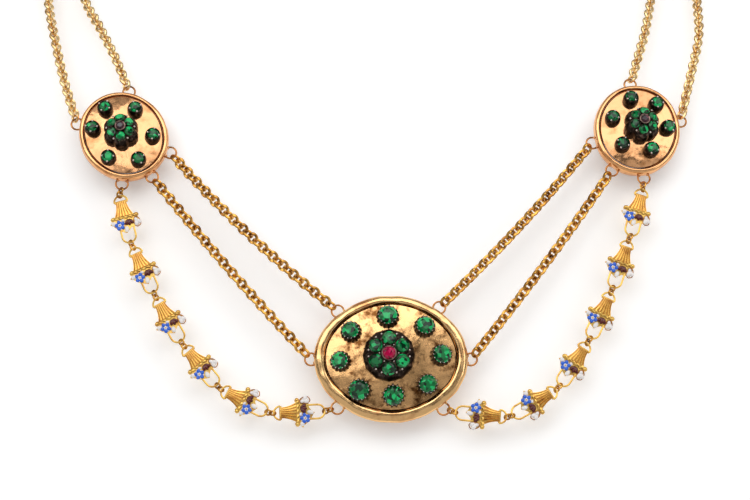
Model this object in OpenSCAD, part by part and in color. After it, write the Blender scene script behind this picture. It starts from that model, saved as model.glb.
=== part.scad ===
// Festoon necklace: three gem-set oval plaques, double gold chains and two festoons of
// small enamelled flower baskets, in the shape it takes when it is worn.
// The origin is on the neck side of the clasp. X runs to the right, Y to the back and Z up,
// seen by someone who faces the wearer.

/* [Wearing line] */
// Lean of the chest behind the center plaque, in degrees
chest_lean = 12; // [11:0.5:13]
// Depth from the center plaque back to the clasp
nape_depth = 120; // [118:1:122]
// Height of the clasp above the center plaque
nape_rise = 135; // [134:1:136]

/* [Center plaque] */
// Half the width of the frame
center_half_width = 19.25; // [19:0.25:20]
// Half the height of the frame
center_half_height = 16.1; // [16:0.1:16.6]
// Width of the frame's band
center_band = 2.3; // [2:0.1:2.4]
// Diameter of the rosette mount
center_rosette_d = 13.3; // [12.9:0.1:13.4]
// Diameter of the ruby
ruby_d = 3.15; // [2.9:0.05:3.2]

/* [Side plaques] */
// Half the height of the frame
side_half_height = 12.5; // [12.4:0.1:13]
// Half the width of the frame
side_half_width = 11.2; // [11.1:0.1:11.6]
// Width of the frame's band
side_band = 1.45; // [1.3:0.05:1.5]
// Diameter of the lobed rosette mount
side_rosette_d = 9; // [8.6:0.1:9]
// Diameter of the garnet
garnet_d = 2.1; // [1.9:0.05:2.2]
// Diameter of the stones in the cups
side_stone_d = 2.9; // [2.6:0.1:3]

/* [Setting] */
// Depth of a frame from its back to its brow
frame_depth = 3.2; // [3:0.1:3.4]
// Height of a collet above the ground
collet_height = 2.6; // [2.4:0.1:2.8]
// Thickness of the ground sheets
sheet = 0.6; // [0.5:0.05:0.7]

/* [Chains] */
// Radius of a link, to the middle of its wire
link_radius = 1.26; // [1.26:0.01:1.28]
// Diameter of the link wire
link_wire = 0.56; // [0.52:0.01:0.57]
// Turn of the links away from the chest, in degrees
link_roll = 40; // [35:1:50]
// Diameter of a whole chain
chain_d = 2.2; // [2:0.1:2.6]

/* [Festoons] */
// Length of a basket link between the middles of its end wires
basket_reach = 12.7; // [12.68:0.01:12.73]
// Diameter of the wire of the eyes and of the basket loops
eye_wire = 0.3; // [0.28:0.01:0.31]
// Diameter of the jump ring wire
ring_wire = 0.32; // [0.3:0.01:0.33]
// Radius of a jump ring, to the middle of its wire
ring_radius = 0.8; // [0.79:0.005:0.81]

/* [Clasp] */
// Width of the clasp
clasp_width = 9; // [8.6:0.1:9.4]
// Depth of the clasp
clasp_depth = 3; // [2.6:0.1:3.4]
// Height of the clasp
clasp_height = 6.2; // [6:0.1:6.6]

/* [Hidden] */
$fn = 48;

// Order of the plaques in every table
CENTER = 0;
LEFT = 1;
RIGHT = 2;

// Seat of each plaque on the chest: across, up
SEAT = [[4, 0], [-64.5, 56.4], [67.3, 58]];
// Turns of each plaque: face upward, face outward, in its own plane
TILT = [chest_lean, chest_lean + 9, chest_lean + 9];
YAW = [0, 2, 7];
LEAN = [0, 29, -14];

// Outline of each plaque: half of the long axis, half of the short one, radius of the ends
LONG = [center_half_width, side_half_height, side_half_height];
SHORT = [center_half_height, side_half_width, side_half_width];
END_RADIUS = [13.2, 10.5, 10.5];
// Turn of the long axis
AXIS = [0, 90, 90];
BAND = [center_band, side_band, side_band];

// Ground of each plaque: radius of the dome, height of its top, thin rim at its edge
DOME = [76, 60, 60];
DOME_TOP = [1.5, 1.4, 1.4];
RIM = [0.25, 0, 0];
rim_height = 0.5;
ground_gap = 0.2;
seat_gap = 0.08;

// Eyes soldered to the frames: the direction that each one faces, in the plaque's plane
EYES = [[128, 56, 180, 0, 232, -53], [141, 51, -42, -84, -125], [109, 23, -155, -113, -69]];
eye_radius = 1.55;
eye_offset = 0.75;
eye_level = -0.6;

// Stones around the center rosette: across, up, diameter
CENTER_STONES = [
    [-0.8, 10.65, 4.7],
    [8.6, 8.1, 4.4],
    [12.8, 0.8, 4.5],
    [9.2, -6.8, 4.5],
    [0.6, -9.7, 4.9],
    [-8, -8.3, 5],
    [-12.9, -0.8, 4.2],
    [-10.2, 6.8, 4.3],
];
// Stones around the side rosettes: across, up
LEFT_STONES = [[-0.9, 8.6], [5.85, 4.5], [-6.4, 5.1], [6.4, -4.35], [-6.6, -4.2], [0, -8.45]];
RIGHT_STONES = [[-3.25, 7.55], [3.55, 7.6], [-7.1, 0.8], [7.65, 1.8], [-3.35, -6], [4.4, -5.5]];

// Rosettes: across, up, turn of the flower, radius of its ring, stone diameter, lean of its stones
ROSETTES = [[-0.5, 0.55, 90, 3.85, 3.45, 8], [-0.45, 0.3, 64, 2.6, 2.35, 22], [0.6, 0.4, 96, 2.6, 2.35, 22]];
// Height of the ring of stones and of the middle stone above the ground
FLOWER_LEVEL = [4.1, 4.7, 4.7];
HEART_LEVEL = [4.5, 5.5, 5.5];

// Proportions of a cut stone, as parts of its diameter
crown_part = 0.2;
girdle_part = 0.05;
pavilion_part = 0.36;
table_part = 0.58;
culet_part = 0.1;
gem_sides = 10;

// Lower chains: plaque, its eye, eye of the center plaque, middle of the chain across and up, links
LOWER_CHAINS = [
    [LEFT, -42, 128, [-32.6, 31.8], 33],
    [LEFT, -84, 180, [-36.3, 21.8], 33],
    [RIGHT, -155, 56, [36.5, 33.1], 33],
    [RIGHT, -113, 0, [43.2, 24], 33],
];

// Festoons: plaque, its eye, eye of the center plaque, middles of the baskets across and up
FESTOONS = [
    [LEFT, -125, 232, [[-65.3, 37.4], [-59.4, 24.2], [-52.8, 10.9], [-44.6, -1], [-32.9, -11.4], [-17.9, -13.8]]],
    [RIGHT, -69, -53, [[67.4, 37.9], [63.3, 27.2], [58.4, 13.9], [51.4, 0.9], [42.4, -10.2], [28.6, -15]]],
];
BASKETS = 6;

// Upper chains: plaque, its eye, side and level of its clasp ring, route across, back and up
UPPER_CHAINS = [
    [LEFT, 51, -1, 1, [
        [-67.4, 26.9, 76.4], [-72.4, 34, 85.4], [-77.7, 42.8, 94.2], [-81, 56, 107],
        [-79, 76, 119.5], [-68, 95, 128.5], [-49, 110, 133.5], [-26, 118.5, 136],
    ]],
    [LEFT, 141, -1, -1, [
        [-80.8, 24.4, 71], [-83.9, 31.4, 81.2], [-87.3, 42.3, 93], [-89.5, 57, 105],
        [-86, 78, 117], [-73, 98.5, 125], [-52, 113.5, 130], [-27, 121, 132.6],
    ]],
    [RIGHT, 109, 1, 1, [
        [68.8, 27.8, 77.6], [71.2, 33.2, 84.5], [73.8, 42.5, 94.2], [76.5, 56, 107],
        [75, 76, 119.5], [65, 95, 128.5], [48, 110, 133.5], [26, 118.5, 136],
    ]],
    [RIGHT, 23, 1, -1, [
        [82.6, 26.2, 73.8], [85.4, 33.3, 83.5], [86.2, 43.4, 94.3], [87, 57, 105],
        [83.5, 78, 117], [71.5, 98.5, 125], [51, 113.5, 130], [27, 121, 132.6],
    ]],
];
tube_sides = 8;
tube_rings = 19;
tube_end_gap = 0.3;
// Width of a tube's ends, as a part of its diameter
tube_end_part = 0.4;

clasp_ring_radius = 1.2;
clasp_ring_wire = 0.5;
clasp_ring_offset = 0.7;
clasp_ring_level = 1.7;
clasp_corner = 1.2;

GOLD = "#d8a33c";
ROSE_GOLD = "#dd9a5b";
BRIGHT_GOLD = "#ecc063";
DARK_SILVER = "#3a332e";
GREEN = "#0f8a4a";
RUBY = "#b3103f";
GARNET = "#4a0f22";

// The chest: it leans back, curls back more and more towards the neck, and is round across
chest_curl = 2.55e-7;
chest_round = 4.4e-4;
function chest_rise(x, z) = tan(chest_lean) * z + chest_curl * pow(z, 4) + chest_round * x * x;
function from_nape(v) = v - [0, nape_depth, nape_rise];
function chest_point(x, z) = from_nape([x, chest_rise(x, z), z]);
function chest_normal(v) =
    let (z = v.z + nape_rise)
    [2 * chest_round * v.x, -1, tan(chest_lean) + 4 * chest_curl * pow(z, 3)];

// Turns
function spin_x(v, a) = [v.x, v.y * cos(a) - v.z * sin(a), v.y * sin(a) + v.z * cos(a)];
function spin_z(v, a) = [v.x * cos(a) - v.y * sin(a), v.x * sin(a) + v.y * cos(a), v.z];
function unit(v) = v / norm(v);

// Outline of a plaque: an oval of four arcs
function end_reach(p) = LONG[p] - END_RADIUS[p];
function flank_reach(p) =
    let (k = SHORT[p] - END_RADIUS[p])
    (pow(end_reach(p), 2) - k * k) / (2 * k);
function flank_radius(p) = SHORT[p] + flank_reach(p);
function joint_angle(p) = atan2(flank_reach(p), end_reach(p));
function oval_arc(p, angle) =
    abs(angle) <= joint_angle(p) ? [end_reach(p), 0, END_RADIUS[p]]
    : abs(angle) >= 180 - joint_angle(p) ? [-end_reach(p), 0, END_RADIUS[p]]
    : [0, -sign(angle) * flank_reach(p), flank_radius(p)];
function half_turn(angle) = angle > 180 ? angle - 360 : angle <= -180 ? angle + 360 : angle;
function edge_point(p, angle, offset, level) =
    let (a = half_turn(angle - AXIS[p]), arc = oval_arc(p, a))
    spin_z([arc.x + (arc.z + offset) * cos(a), arc.y + (arc.z + offset) * sin(a), level], AXIS[p]);

// Plaques on the chest
function plaque_seat(p) = chest_point(SEAT[p].x, SEAT[p].y);
function plaque_point(p, v) =
    plaque_seat(p) + spin_z(spin_x(spin_z(v, LEAN[p]), 90 - TILT[p]), YAW[p]);
function plaque_view(p, v) =
    spin_z(spin_x(spin_z(v - plaque_seat(p), -YAW[p]), TILT[p] - 90), -LEAN[p]);

// Point of an eye's wire that faces the pull of a chain, or a point past it
function eye_end(p, angle, pull, past = 0) =
    let (hub = edge_point(p, angle, eye_offset, eye_level), way = plaque_view(p, pull) - hub)
    plaque_point(p, hub + (eye_radius + past) * unit([way.x, way.y, 0]));
module on_plaque(p) {
    translate(plaque_seat(p))
        rotate([90 - TILT[p], 0, YAW[p]])
            rotate([0, 0, LEAN[p]])
                children();
}

// Routes: a list of points with the length walked to each one
function walked(route) =
    [for (i = 0, s = 0; i < len(route); i = i + 1, s = i < len(route) ? s + norm(route[i] - route[i - 1]) : s) s];
function measured(route) =
    let (marks = walked(route))
    [for (i = [0:len(route) - 1]) concat(route[i], marks[i])];
function route_length(line) = line[len(line) - 1][3];
function along(line, s) = [for (axis = [0:2]) lookup(s, [for (row = line) [row[3], row[axis]]])];
function heading(line, s) = unit(along(line, s + 0.4) - along(line, s - 0.4));
function bow(a, middle, b, steps = 40) =
    let (pull = 2 * middle - (a + b) / 2)
    [for (i = [0:steps]) let (t = i / steps) a * (1 - t) * (1 - t) + pull * 2 * t * (1 - t) + b * t * t];
function knot(a, b) = max(sqrt(norm(b - a)), 0.001);
function between(a, b, from, to, t) = a + (b - a) * (t - from) / (to - from);
function spline(a, b, c, d, part) =
    let (
        first = knot(a, b),
        second = first + knot(b, c),
        third = second + knot(c, d),
        t = between(first, second, 0, 1, part),
        ab = between(a, b, 0, first, t),
        bc = between(b, c, first, second, t),
        cd = between(c, d, second, third, t)
    )
    between(between(ab, bc, 0, second, t), between(bc, cd, first, third, t), first, second, t);
function smooth(points, steps = 8) =
    let (last = len(points) - 1)
    concat(
        [for (i = [0:last - 1], k = [0:steps - 1])
            spline(points[max(i - 1, 0)], points[i], points[i + 1], points[min(i + 2, last)], k / steps)],
        [points[last]]
    );

// Puts a piece at a place with its length along the heading and its face off the chest
module aim(place, direction, roll = 0) {
    azimuth = atan2(direction.y, direction.x);
    climb = atan2(direction.z, norm([direction.x, direction.y]));
    side = [-sin(azimuth), cos(azimuth), 0];
    top = [-sin(climb) * cos(azimuth), -sin(climb) * sin(azimuth), cos(climb)];
    face = chest_normal(place);
    translate(place)
        rotate([0, -climb, azimuth])
            rotate([atan2(-face * side, face * top) + roll, 0, 0])
                children();
}

module ring(radius, wire) {
    rotate_extrude()
        translate([radius, 0])
            circle(d = wire);
}

// Triangles that join rings of points, each ring with the same number of sides
function skin(rings, sides, closed = false) = [
    for (i = [0:rings - (closed ? 1 : 2)], k = [0:sides - 1])
        let (
            here = i * sides,
            next = (i + 1) % rings * sides,
            beside = (k + 1) % sides
        )
        each [[here + k, next + k, next + beside], [here + k, next + beside, here + beside]]
];
function caps(rings, sides) = [
    [for (k = [0:sides - 1]) k],
    [for (k = [sides - 1:-1:0]) (rings - 1) * sides + k],
];

// Frames
function band_profile(band) =
    let (brow = frame_depth / 2, waist = -0.5, back = -frame_depth / 2)
    concat(
        [[-0.3, back], [-band, back]],
        [for (a = [180:-20:0]) [(cos(a) - 1) * band / 2, waist + (brow - waist) * sin(a)]]
    );

module band(p) {
    stations = 48;
    profile = band_profile(BAND[p]);
    points = [
        for (i = [0:stations - 1])
            for (v = profile)
                edge_point(p, 360 / stations * i, v.x, v.y)
    ];
    polyhedron(points, skin(stations, len(profile), true));
}

module frame(p) {
    band(p);
    for (angle = EYES[p]) {
        translate(edge_point(p, angle, eye_offset, eye_level))
            ring(eye_radius, eye_wire);
    }
}

// Grounds
module oval_block(p, inset, low, high) {
    tall = high - low;
    strip = end_reach(p) + (END_RADIUS[p] - inset) * cos(joint_angle(p));
    translate([0, 0, low]) {
        rotate(AXIS[p]) {
            for (side = [-1, 1]) {
                translate([side * end_reach(p), 0, 0])
                    cylinder(r = END_RADIUS[p] - inset, h = tall, $fn = 96);
            }
            intersection() {
                translate([0, flank_reach(p), 0])
                    cylinder(r = flank_radius(p) - inset, h = tall, $fn = 96);
                translate([0, -flank_reach(p), 0])
                    cylinder(r = flank_radius(p) - inset, h = tall, $fn = 96);
                translate([-strip, -LONG[p], 0])
                    cube([2 * strip, 2 * LONG[p], tall]);
            }
        }
    }
}

// Domed sheet, wider than the plaque: its section is two arcs of a few straight steps
module domed_sheet(p) {
    steps = 5;
    spread = asin(LONG[p] / DOME[p]);
    translate([0, 0, DOME_TOP[p] - DOME[p]])
        rotate_extrude($fn = 96)
            polygon(concat(
                [for (i = [0:steps]) DOME[p] * [sin(spread * i / steps), cos(spread * i / steps)]],
                [for (i = [steps:-1:0]) (DOME[p] - sheet) * [sin(spread * i / steps), cos(spread * i / steps)]]
            ));
}

module ground(p) {
    inset = BAND[p] + ground_gap;
    intersection() {
        domed_sheet(p);
        oval_block(p, inset + RIM[p] / 2, -frame_depth / 2, DOME_TOP[p] + 1);
    }
    if (RIM[p] > 0) {
        difference() {
            oval_block(p, inset, -0.6, rim_height + 0.6);
            oval_block(p, inset + RIM[p], -1, rim_height + 1);
        }
    }
}

// Puts a piece on the dome of a ground, upright on its surface, with its top at the place given
module on_dome(p, place, height) {
    lean = asin(norm(place) / (DOME[p] + height));
    translate([0, 0, DOME_TOP[p] - DOME[p]])
        rotate([0, 0, atan2(place.y, place.x)])
            rotate([0, lean, 0])
                translate([0, 0, DOME[p] + seat_gap])
                    children();
}

// Stones
module gem(d) {
    translate([0, 0, girdle_part * d])
        cylinder(d1 = d, d2 = table_part * d, h = crown_part * d, $fn = gem_sides);
    cylinder(d = d, h = girdle_part * d, $fn = gem_sides);
    translate([0, 0, -pavilion_part * d])
        cylinder(d1 = culet_part * d, d2 = d, h = pavilion_part * d, $fn = gem_sides);
}

module gem_seat(d) {
    translate([0, 0, -pavilion_part * d - 0.15])
        cylinder(d = d + 0.12, h = d);
}

// Height of a stone's girdle in its collet
function girdle_level() = collet_height - 0.3;

// Collets
module toothed_collet(d) {
    teeth = 14;
    foot = d / 2 + 0.58;
    step = 180 / teeth;
    difference() {
        linear_extrude(height = collet_height, scale = (d / 2 + 0.38) / foot)
            polygon([
                for (i = [0:2 * teeth - 1])
                    let (r = i % 2 == 0 ? foot : foot - 0.4)
                    for (side = [-0.3, 0.3])
                        r * [cos((i + side) * step), sin((i + side) * step)]
            ]);
        translate([0, 0, girdle_level()])
            gem_seat(d);
    }
}

module cup_collet(d) {
    grain = 0.34;
    difference() {
        union() {
            cylinder(d1 = d + 0.9, d2 = d + 1.2, h = 0.8);
            translate([0, 0, 0.8])
                cylinder(d1 = d + 1.2, d2 = d + 0.7, h = collet_height - 0.8);
        }
        translate([0, 0, girdle_level()])
            gem_seat(d);
    }
    for (turn = [45:90:315]) {
        rotate(turn)
            translate([d / 2 + 0.1 + grain, 0, collet_height])
                sphere(grain);
    }
}

function side_stones(p) = p == LEFT ? LEFT_STONES : RIGHT_STONES;

// Rosettes
module on_flower(p, k) {
    row = ROSETTES[p];
    rotate(row[2] + 60 * k)
        translate([row[3], 0, FLOWER_LEVEL[p]])
            rotate([0, row[5], 0])
                children();
}

module at_rosette(p) {
    row = ROSETTES[p];
    translate([row[0], row[1], DOME_TOP[p]])
        children();
}

// Twelve-sided cups for the stones of a rosette, and the holes in them
module rosette_cup(d, low, high) {
    translate([0, 0, low])
        rotate(11)
            cylinder(d = d, h = high - low, $fn = 12);
}

module rosette_holes(p, heart_d) {
    d = ROSETTES[p][4];
    for (k = [0:5]) {
        on_flower(p, k)
            rosette_cup(d + 0.2, -pavilion_part * d - 0.15, d);
    }
    translate([0, 0, HEART_LEVEL[p]])
        rosette_cup(heart_d + 0.2, -pavilion_part * heart_d - 0.15, heart_d);
}

module heart_cup(p, heart_d) {
    rosette_cup(heart_d + 0.55, 1, HEART_LEVEL[p] + 0.3);
}

module center_mount() {
    at_rosette(CENTER) {
        difference() {
            union() {
                rotate(15)
                    rotate_extrude($fn = 12)
                        polygon([
                            [0, seat_gap], [center_rosette_d / 2, seat_gap], [center_rosette_d / 2, 1.5],
                            [center_rosette_d / 2 - 1.5, 3.3], [0, 3.3],
                        ]);
                for (k = [0:5]) {
                    on_flower(CENTER, k)
                        rosette_cup(ROSETTES[CENTER][4] + 0.6, -2.6, 0.3);
                }
                heart_cup(CENTER, ruby_d);
                for (k = [0:5]) {
                    rotate(ROSETTES[CENTER][2] + 60 * k + 30)
                        translate([5.1, 0, 2])
                            cylinder(d = 0.8, h = 2.2, $fn = 8);
                }
            }
            rosette_holes(CENTER, ruby_d);
        }
    }
}

// Lobed side mounts: height, radius and depth of the grooves as parts of the full radius
MELON = [[seat_gap, 0.96, 0.1], [0.8, 1, 0.12], [2.2, 1, 0.14], [3.3, 0.93, 0.14], [4, 0.84, 0.08]];

module melon(p) {
    sides = 36;
    points = [
        for (row = MELON, k = [0:sides - 1])
            let (
                a = 360 / sides * k,
                r = side_rosette_d / 2 * (row[1] - row[2] * (1 - abs(cos(3 * a))))
            )
            [r * cos(a), r * sin(a), row[0]]
    ];
    rotate(ROSETTES[p][2])
        polyhedron(points, concat(skin(len(MELON), sides), caps(len(MELON), sides)));
}

module lobed_mount(p) {
    at_rosette(p) {
        difference() {
            union() {
                melon(p);
                heart_cup(p, garnet_d);
            }
            rosette_holes(p, garnet_d);
        }
    }
}

// Basket link: its length runs along X from the foot to the long loop, its face looks along Z
loop_center = 5.1;
foot_radius = 1.7;
foot_line = -4.15;
loop_radius = basket_reach + foot_line - foot_radius - loop_center;

module wire(from, to, d) {
    run = to - from;
    translate(from)
        rotate([0, 90, atan2(run.y, run.x)])
            cylinder(d = d, h = norm(run));
}

module basket_body() {
    stations = 5;
    ribs = 6;
    columns = 2 * ribs;
    thick = 0.55;
    start = foot_line;
    stop = -0.2;
    points = [
        for (front = [1, 0], i = [0:stations - 1], j = [0:columns])
            let (
                t = i / (stations - 1),
                half = 1.35 + 1.15 * t * t,
                crest = front * (j % 2 == 1 ? 0.35 : 0.05)
            )
            [start + (stop - start) * t, half * (2 * j / columns - 1), (2 * front - 1) * thick + crest]
    ];
    row = columns + 1;
    sheet_size = stations * row;
    faces = concat(
        [for (i = [0:stations - 2], j = [0:columns - 1])
            [i * row + j, (i + 1) * row + j, (i + 1) * row + j + 1, i * row + j + 1]],
        [for (i = [0:stations - 2], j = [0:columns - 1])
            [sheet_size + i * row + j + 1, sheet_size + (i + 1) * row + j + 1,
             sheet_size + (i + 1) * row + j, sheet_size + i * row + j]],
        [for (i = [0:stations - 2])
            [i * row, sheet_size + i * row, sheet_size + (i + 1) * row, (i + 1) * row]],
        [for (i = [0:stations - 2])
            [i * row + columns, (i + 1) * row + columns, sheet_size + (i + 1) * row + columns,
             sheet_size + i * row + columns]],
        [for (j = [0:columns - 1])
            [j, j + 1, sheet_size + j + 1, sheet_size + j]],
        [for (j = [0:columns - 1])
            [(stations - 1) * row + j + 1, (stations - 1) * row + j,
             sheet_size + (stations - 1) * row + j, sheet_size + (stations - 1) * row + j + 1]]
    );
    polyhedron(points, [for (f = faces) [f[3], f[2], f[1], f[0]]]);
}

module basket_rim() {
    span = 6;
    translate([0, span / 2, 0])
        rotate([90, 0, 0])
            linear_extrude(height = span, twist = 720, slices = 24, segments = 4)
                square(1.05, center = true);
    for (side = [-1, 1]) {
        translate([0, side * span / 2, 0])
            sphere(0.55);
    }
}

module petals(place, turn, count, ring, d, h) {
    translate([place.x, place.y, -0.3]) {
        for (k = [0:count - 1]) {
            rotate(turn + 360 / count * k)
                translate([ring, 0, 0])
                    cylinder(d = d, h = h, $fn = 16);
        }
    }
}

module spray() {
    // Backing plate that carries the enamel cells
    translate([0, 0, -0.3])
        linear_extrude(height = 0.5)
            polygon([[0, -3], [1.5, -3.5], [3.1, -2.2], [4.3, -0.3], [3, 1.1], [2.8, 3.3], [1, 3.4], [0, 2.4]]);
    // Blue flower
    petals([1.95, -1.6], 15, 5, 0.78, 1.1, 0.95);
    petals([1.95, -1.6], 0, 1, 0, 0.9, 1.15);
    // Dark red fan
    petals([1.3, 0.75], 0, 1, 0, 1, 0.85);
    petals([1.3, 0.75], -50, 1, 0.75, 0.95, 0.85);
    petals([1.3, 0.75], 0, 1, 0.85, 0.95, 0.85);
    petals([1.3, 0.75], 50, 1, 0.75, 0.95, 0.85);
    // White heart leaf
    petals([2.05, 2.75], 90, 1, 0.45, 1.15, 0.85);
    petals([2.05, 2.75], 10, 1, 0.55, 1.15, 0.85);
    petals([1.6, 2.9], 0, 1, 0, 1, 0.85);
    // White petals
    petals([1.25, -3.15], 0, 1, 0, 1.1, 0.85);
    petals([3.45, -0.2], 0, 1, 0, 1.1, 0.85);
    petals([3.9, -0.25], 0, 1, 0, 0.8, 0.85);
}

module basket() {
    // Foot loop
    translate([foot_line, 0, 0])
        rotate(90)
            rotate_extrude(angle = 180)
                translate([foot_radius, 0])
                    circle(d = eye_wire);
    wire([foot_line, -foot_radius, 0], [foot_line, foot_radius, 0], 0.6);
    basket_body();
    basket_rim();
    spray();
    // Long loop
    translate([loop_center, 0, 0])
        rotate(-90)
            rotate_extrude(angle = 180)
                translate([loop_radius, 0])
                    circle(d = eye_wire);
    for (side = [-1, 1]) {
        wire([0.3, side * loop_radius, 0], [loop_center, side * loop_radius, 0], eye_wire);
    }
}

// Chains
function chain_line(row) =
    let (middle = chest_point(row[3].x, row[3].y))
    measured(bow(eye_end(row[0], row[1], middle), middle, eye_end(CENTER, row[2], middle)));
function link_gap(line, links) =
    (links * (2 * link_radius - link_wire) - eye_wire - route_length(line)) / (links + 1);

module lower_chain(index) {
    row = LOWER_CHAINS[index];
    line = chain_line(row);
    links = row[4];
    gap = link_gap(line, links);
    first = link_radius - (eye_wire + link_wire) / 2 - gap;
    pitch = 2 * link_radius - link_wire - gap;
    for (i = [0:links - 1]) {
        s = first + i * pitch;
        aim(along(line, s), heading(line, s), i % 2 == 0 ? link_roll - 90 : link_roll)
            ring(link_radius, link_wire);
    }
}

function clasp_ring_x() = clasp_width / 2 + clasp_ring_offset;
function clasp_end(side, level) =
    [side * (clasp_ring_x() + clasp_ring_radius + clasp_ring_wire / 2 + tube_end_gap),
     clasp_depth / 2, level * clasp_ring_level];
function upper_route(row) =
    let (route = [for (v = row[4]) from_nape(v)])
    concat([eye_end(row[0], row[1], route[0], eye_wire / 2 + tube_end_gap)],
           route,
           [clasp_end(row[2], row[3])]);

module upper_chain(index) {
    line = measured(smooth(upper_route(UPPER_CHAINS[index])));
    step = route_length(line) / tube_rings;
    neck = from_nape([0, nape_depth / 2, 0]);
    points = [
        for (i = [0:tube_rings])
            let (
                place = along(line, i * step),
                t = heading(line, i * step),
                u = unit(cross(t, [place.x - neck.x, place.y - neck.y, 0])),
                v = cross(t, u),
                r = chain_d / 2 * (i == 0 || i == tube_rings ? tube_end_part : 1)
            )
            for (k = [0:tube_sides - 1])
                let (a = 360 / tube_sides * (k + 0.5))
                place + r * (u * cos(a) + v * sin(a))
    ];
    polyhedron(points, concat(skin(tube_rings + 1, tube_sides), caps(tube_rings + 1, tube_sides)));
}

// Festoons
function festoon_line(row) =
    let (middles = [for (v = row[3]) chest_point(v.x, v.y)])
    measured(smooth(concat(
        [eye_end(row[0], row[1], middles[0])],
        middles,
        [eye_end(CENTER, row[2], middles[BASKETS - 1])]
    )));
function junction_slack() = 4 * ring_radius - 2 * ring_wire - eye_wire;

// Length of the line that a straight basket link spans from a start, and the places of all six
function basket_span(line, start) =
    pow(basket_reach, 2) / norm(along(line, start + basket_reach) - along(line, start));
function basket_spans(line) =
    let (free = (route_length(line) - BASKETS * basket_reach) / (BASKETS + 1))
    [for (k = [0:BASKETS - 1]) basket_span(line, free + k * (free + basket_reach))];
function total(list, count) = count == 0 ? 0 : list[count - 1] + total(list, count - 1);
function junction(line) = (route_length(line) - total(basket_spans(line), BASKETS)) / (BASKETS + 1);
function basket_start(line, k) = (k + 1) * junction(line) + total(basket_spans(line), k);
function basket_stop(line, k) = basket_start(line, k) + basket_spans(line)[k];
function ring_gap(line) = (junction_slack() - junction(line)) / 3;

module festoon_basket(index, k) {
    line = festoon_line(FESTOONS[index]);
    foot = along(line, basket_start(line, k - 1));
    tip = along(line, basket_stop(line, k - 1));
    back = foot_radius - foot_line;
    aim(foot + unit(tip - foot) * back, tip - foot)
        basket();
}

module festoon_rings(index) {
    line = festoon_line(FESTOONS[index]);
    gap = ring_gap(line);
    first = ring_radius - (eye_wire + ring_wire) / 2 - gap;
    second = first + 2 * ring_radius - ring_wire - gap;
    for (k = [0:BASKETS]) {
        from = along(line, k == 0 ? 0 : basket_stop(line, k - 1));
        to = along(line, k == BASKETS ? route_length(line) : basket_start(line, k));
        aim(from + unit(to - from) * first, to - from, 45)
            ring(ring_radius, ring_wire);
        aim(from + unit(to - from) * second, to - from, -45)
            ring(ring_radius, ring_wire);
    }
}

// Clasp
module clasp_block(inset) {
    translate([-clasp_width / 2 + inset, 0, -clasp_height / 2 + clasp_corner - inset])
        cube([clasp_width - 2 * inset, clasp_depth, clasp_height - 2 * clasp_corner + 2 * inset]);
}

// Sub-parts
module center_frame() {
    color(BRIGHT_GOLD) on_plaque(CENTER) frame(CENTER);
}

module center_ground() {
    color(BRIGHT_GOLD) on_plaque(CENTER) ground(CENTER);
}

module center_collets() {
    color(DARK_SILVER) on_plaque(CENTER) {
        for (row = CENTER_STONES) {
            on_dome(CENTER, [row.x, row.y], collet_height)
                toothed_collet(row[2]);
        }
    }
}

module center_stone(i) {
    row = CENTER_STONES[i - 1];
    color(GREEN) on_plaque(CENTER)
        on_dome(CENTER, [row.x, row.y], collet_height)
            translate([0, 0, girdle_level()])
                gem(row[2]);
}

module center_rosette() {
    color(DARK_SILVER) on_plaque(CENTER) center_mount();
}

module rosette_stones(p) {
    color(GREEN) on_plaque(p) at_rosette(p) {
        for (k = [0:5]) {
            on_flower(p, k)
                gem(ROSETTES[p][4]);
        }
    }
}

module rosette_heart(p, d, shade) {
    color(shade) on_plaque(p) at_rosette(p)
        translate([0, 0, HEART_LEVEL[p]])
            gem(d);
}

module side_frame(p) {
    color(ROSE_GOLD) on_plaque(p) frame(p);
}

module side_ground(p) {
    color(BRIGHT_GOLD) on_plaque(p) ground(p);
}

module side_collets(p) {
    color(DARK_SILVER) on_plaque(p) {
        for (place = side_stones(p)) {
            on_dome(p, place, collet_height)
                cup_collet(side_stone_d);
        }
    }
}

module side_cup_stones(p) {
    color(GREEN) on_plaque(p) {
        for (place = side_stones(p)) {
            on_dome(p, place, collet_height)
                translate([0, 0, girdle_level()])
                    gem(side_stone_d);
        }
    }
}

module side_rosette(p) {
    color(DARK_SILVER) on_plaque(p) lobed_mount(p);
}

module clasp() {
    color(GOLD) {
        clasp_block(0);
        clasp_block(clasp_corner);
        for (x = [-1, 1], z = [-1, 1]) {
            translate([x * (clasp_width / 2 - clasp_corner), 0, z * (clasp_height / 2 - clasp_corner)])
                rotate([-90, 0, 0])
                    cylinder(r = clasp_corner, h = clasp_depth);
            translate([x * clasp_ring_x(), clasp_depth / 2, z * clasp_ring_level])
                rotate([90, 0, 0])
                    ring(clasp_ring_radius, clasp_ring_wire);
        }
    }
}

SIDE_NAMES = ["left", "right"];
CHAIN_NAMES = ["left_inner", "left_outer", "right_inner", "right_outer"];

center_frame();
center_ground();
center_collets();
for (i = [1:len(CENTER_STONES)]) {
    center_stone(i);
}
center_rosette();
rosette_stones(CENTER);  // center_rosette_stones
rosette_heart(CENTER, ruby_d, RUBY);  // center_ruby
for (p = [LEFT, RIGHT]) {
    name = SIDE_NAMES[p - 1];
    side_frame(p);
    side_ground(p);
    side_collets(p);
    side_cup_stones(p);
    side_rosette(p);
    rosette_stones(p);
    rosette_heart(p, garnet_d, GARNET);
    color(GOLD) festoon_rings(p - 1);
    for (k = [1:BASKETS]) {
        color(GOLD) festoon_basket(p - 1, k);
    }
}
for (i = [0:len(CHAIN_NAMES) - 1]) {
    color(GOLD) lower_chain(i);
    color(GOLD) upper_chain(i);
}
clasp();
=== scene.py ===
"""Looks of a festoon necklace: three gem-set plaques, double chains and two festoons of enamelled baskets.

Shapes are made in millimetres in the frame of the piece that carries them, and a piece's last step
turns them into metres in the necklace's frame: X to the right, Y to the back, Z up.
"""

import math
import random

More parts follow.
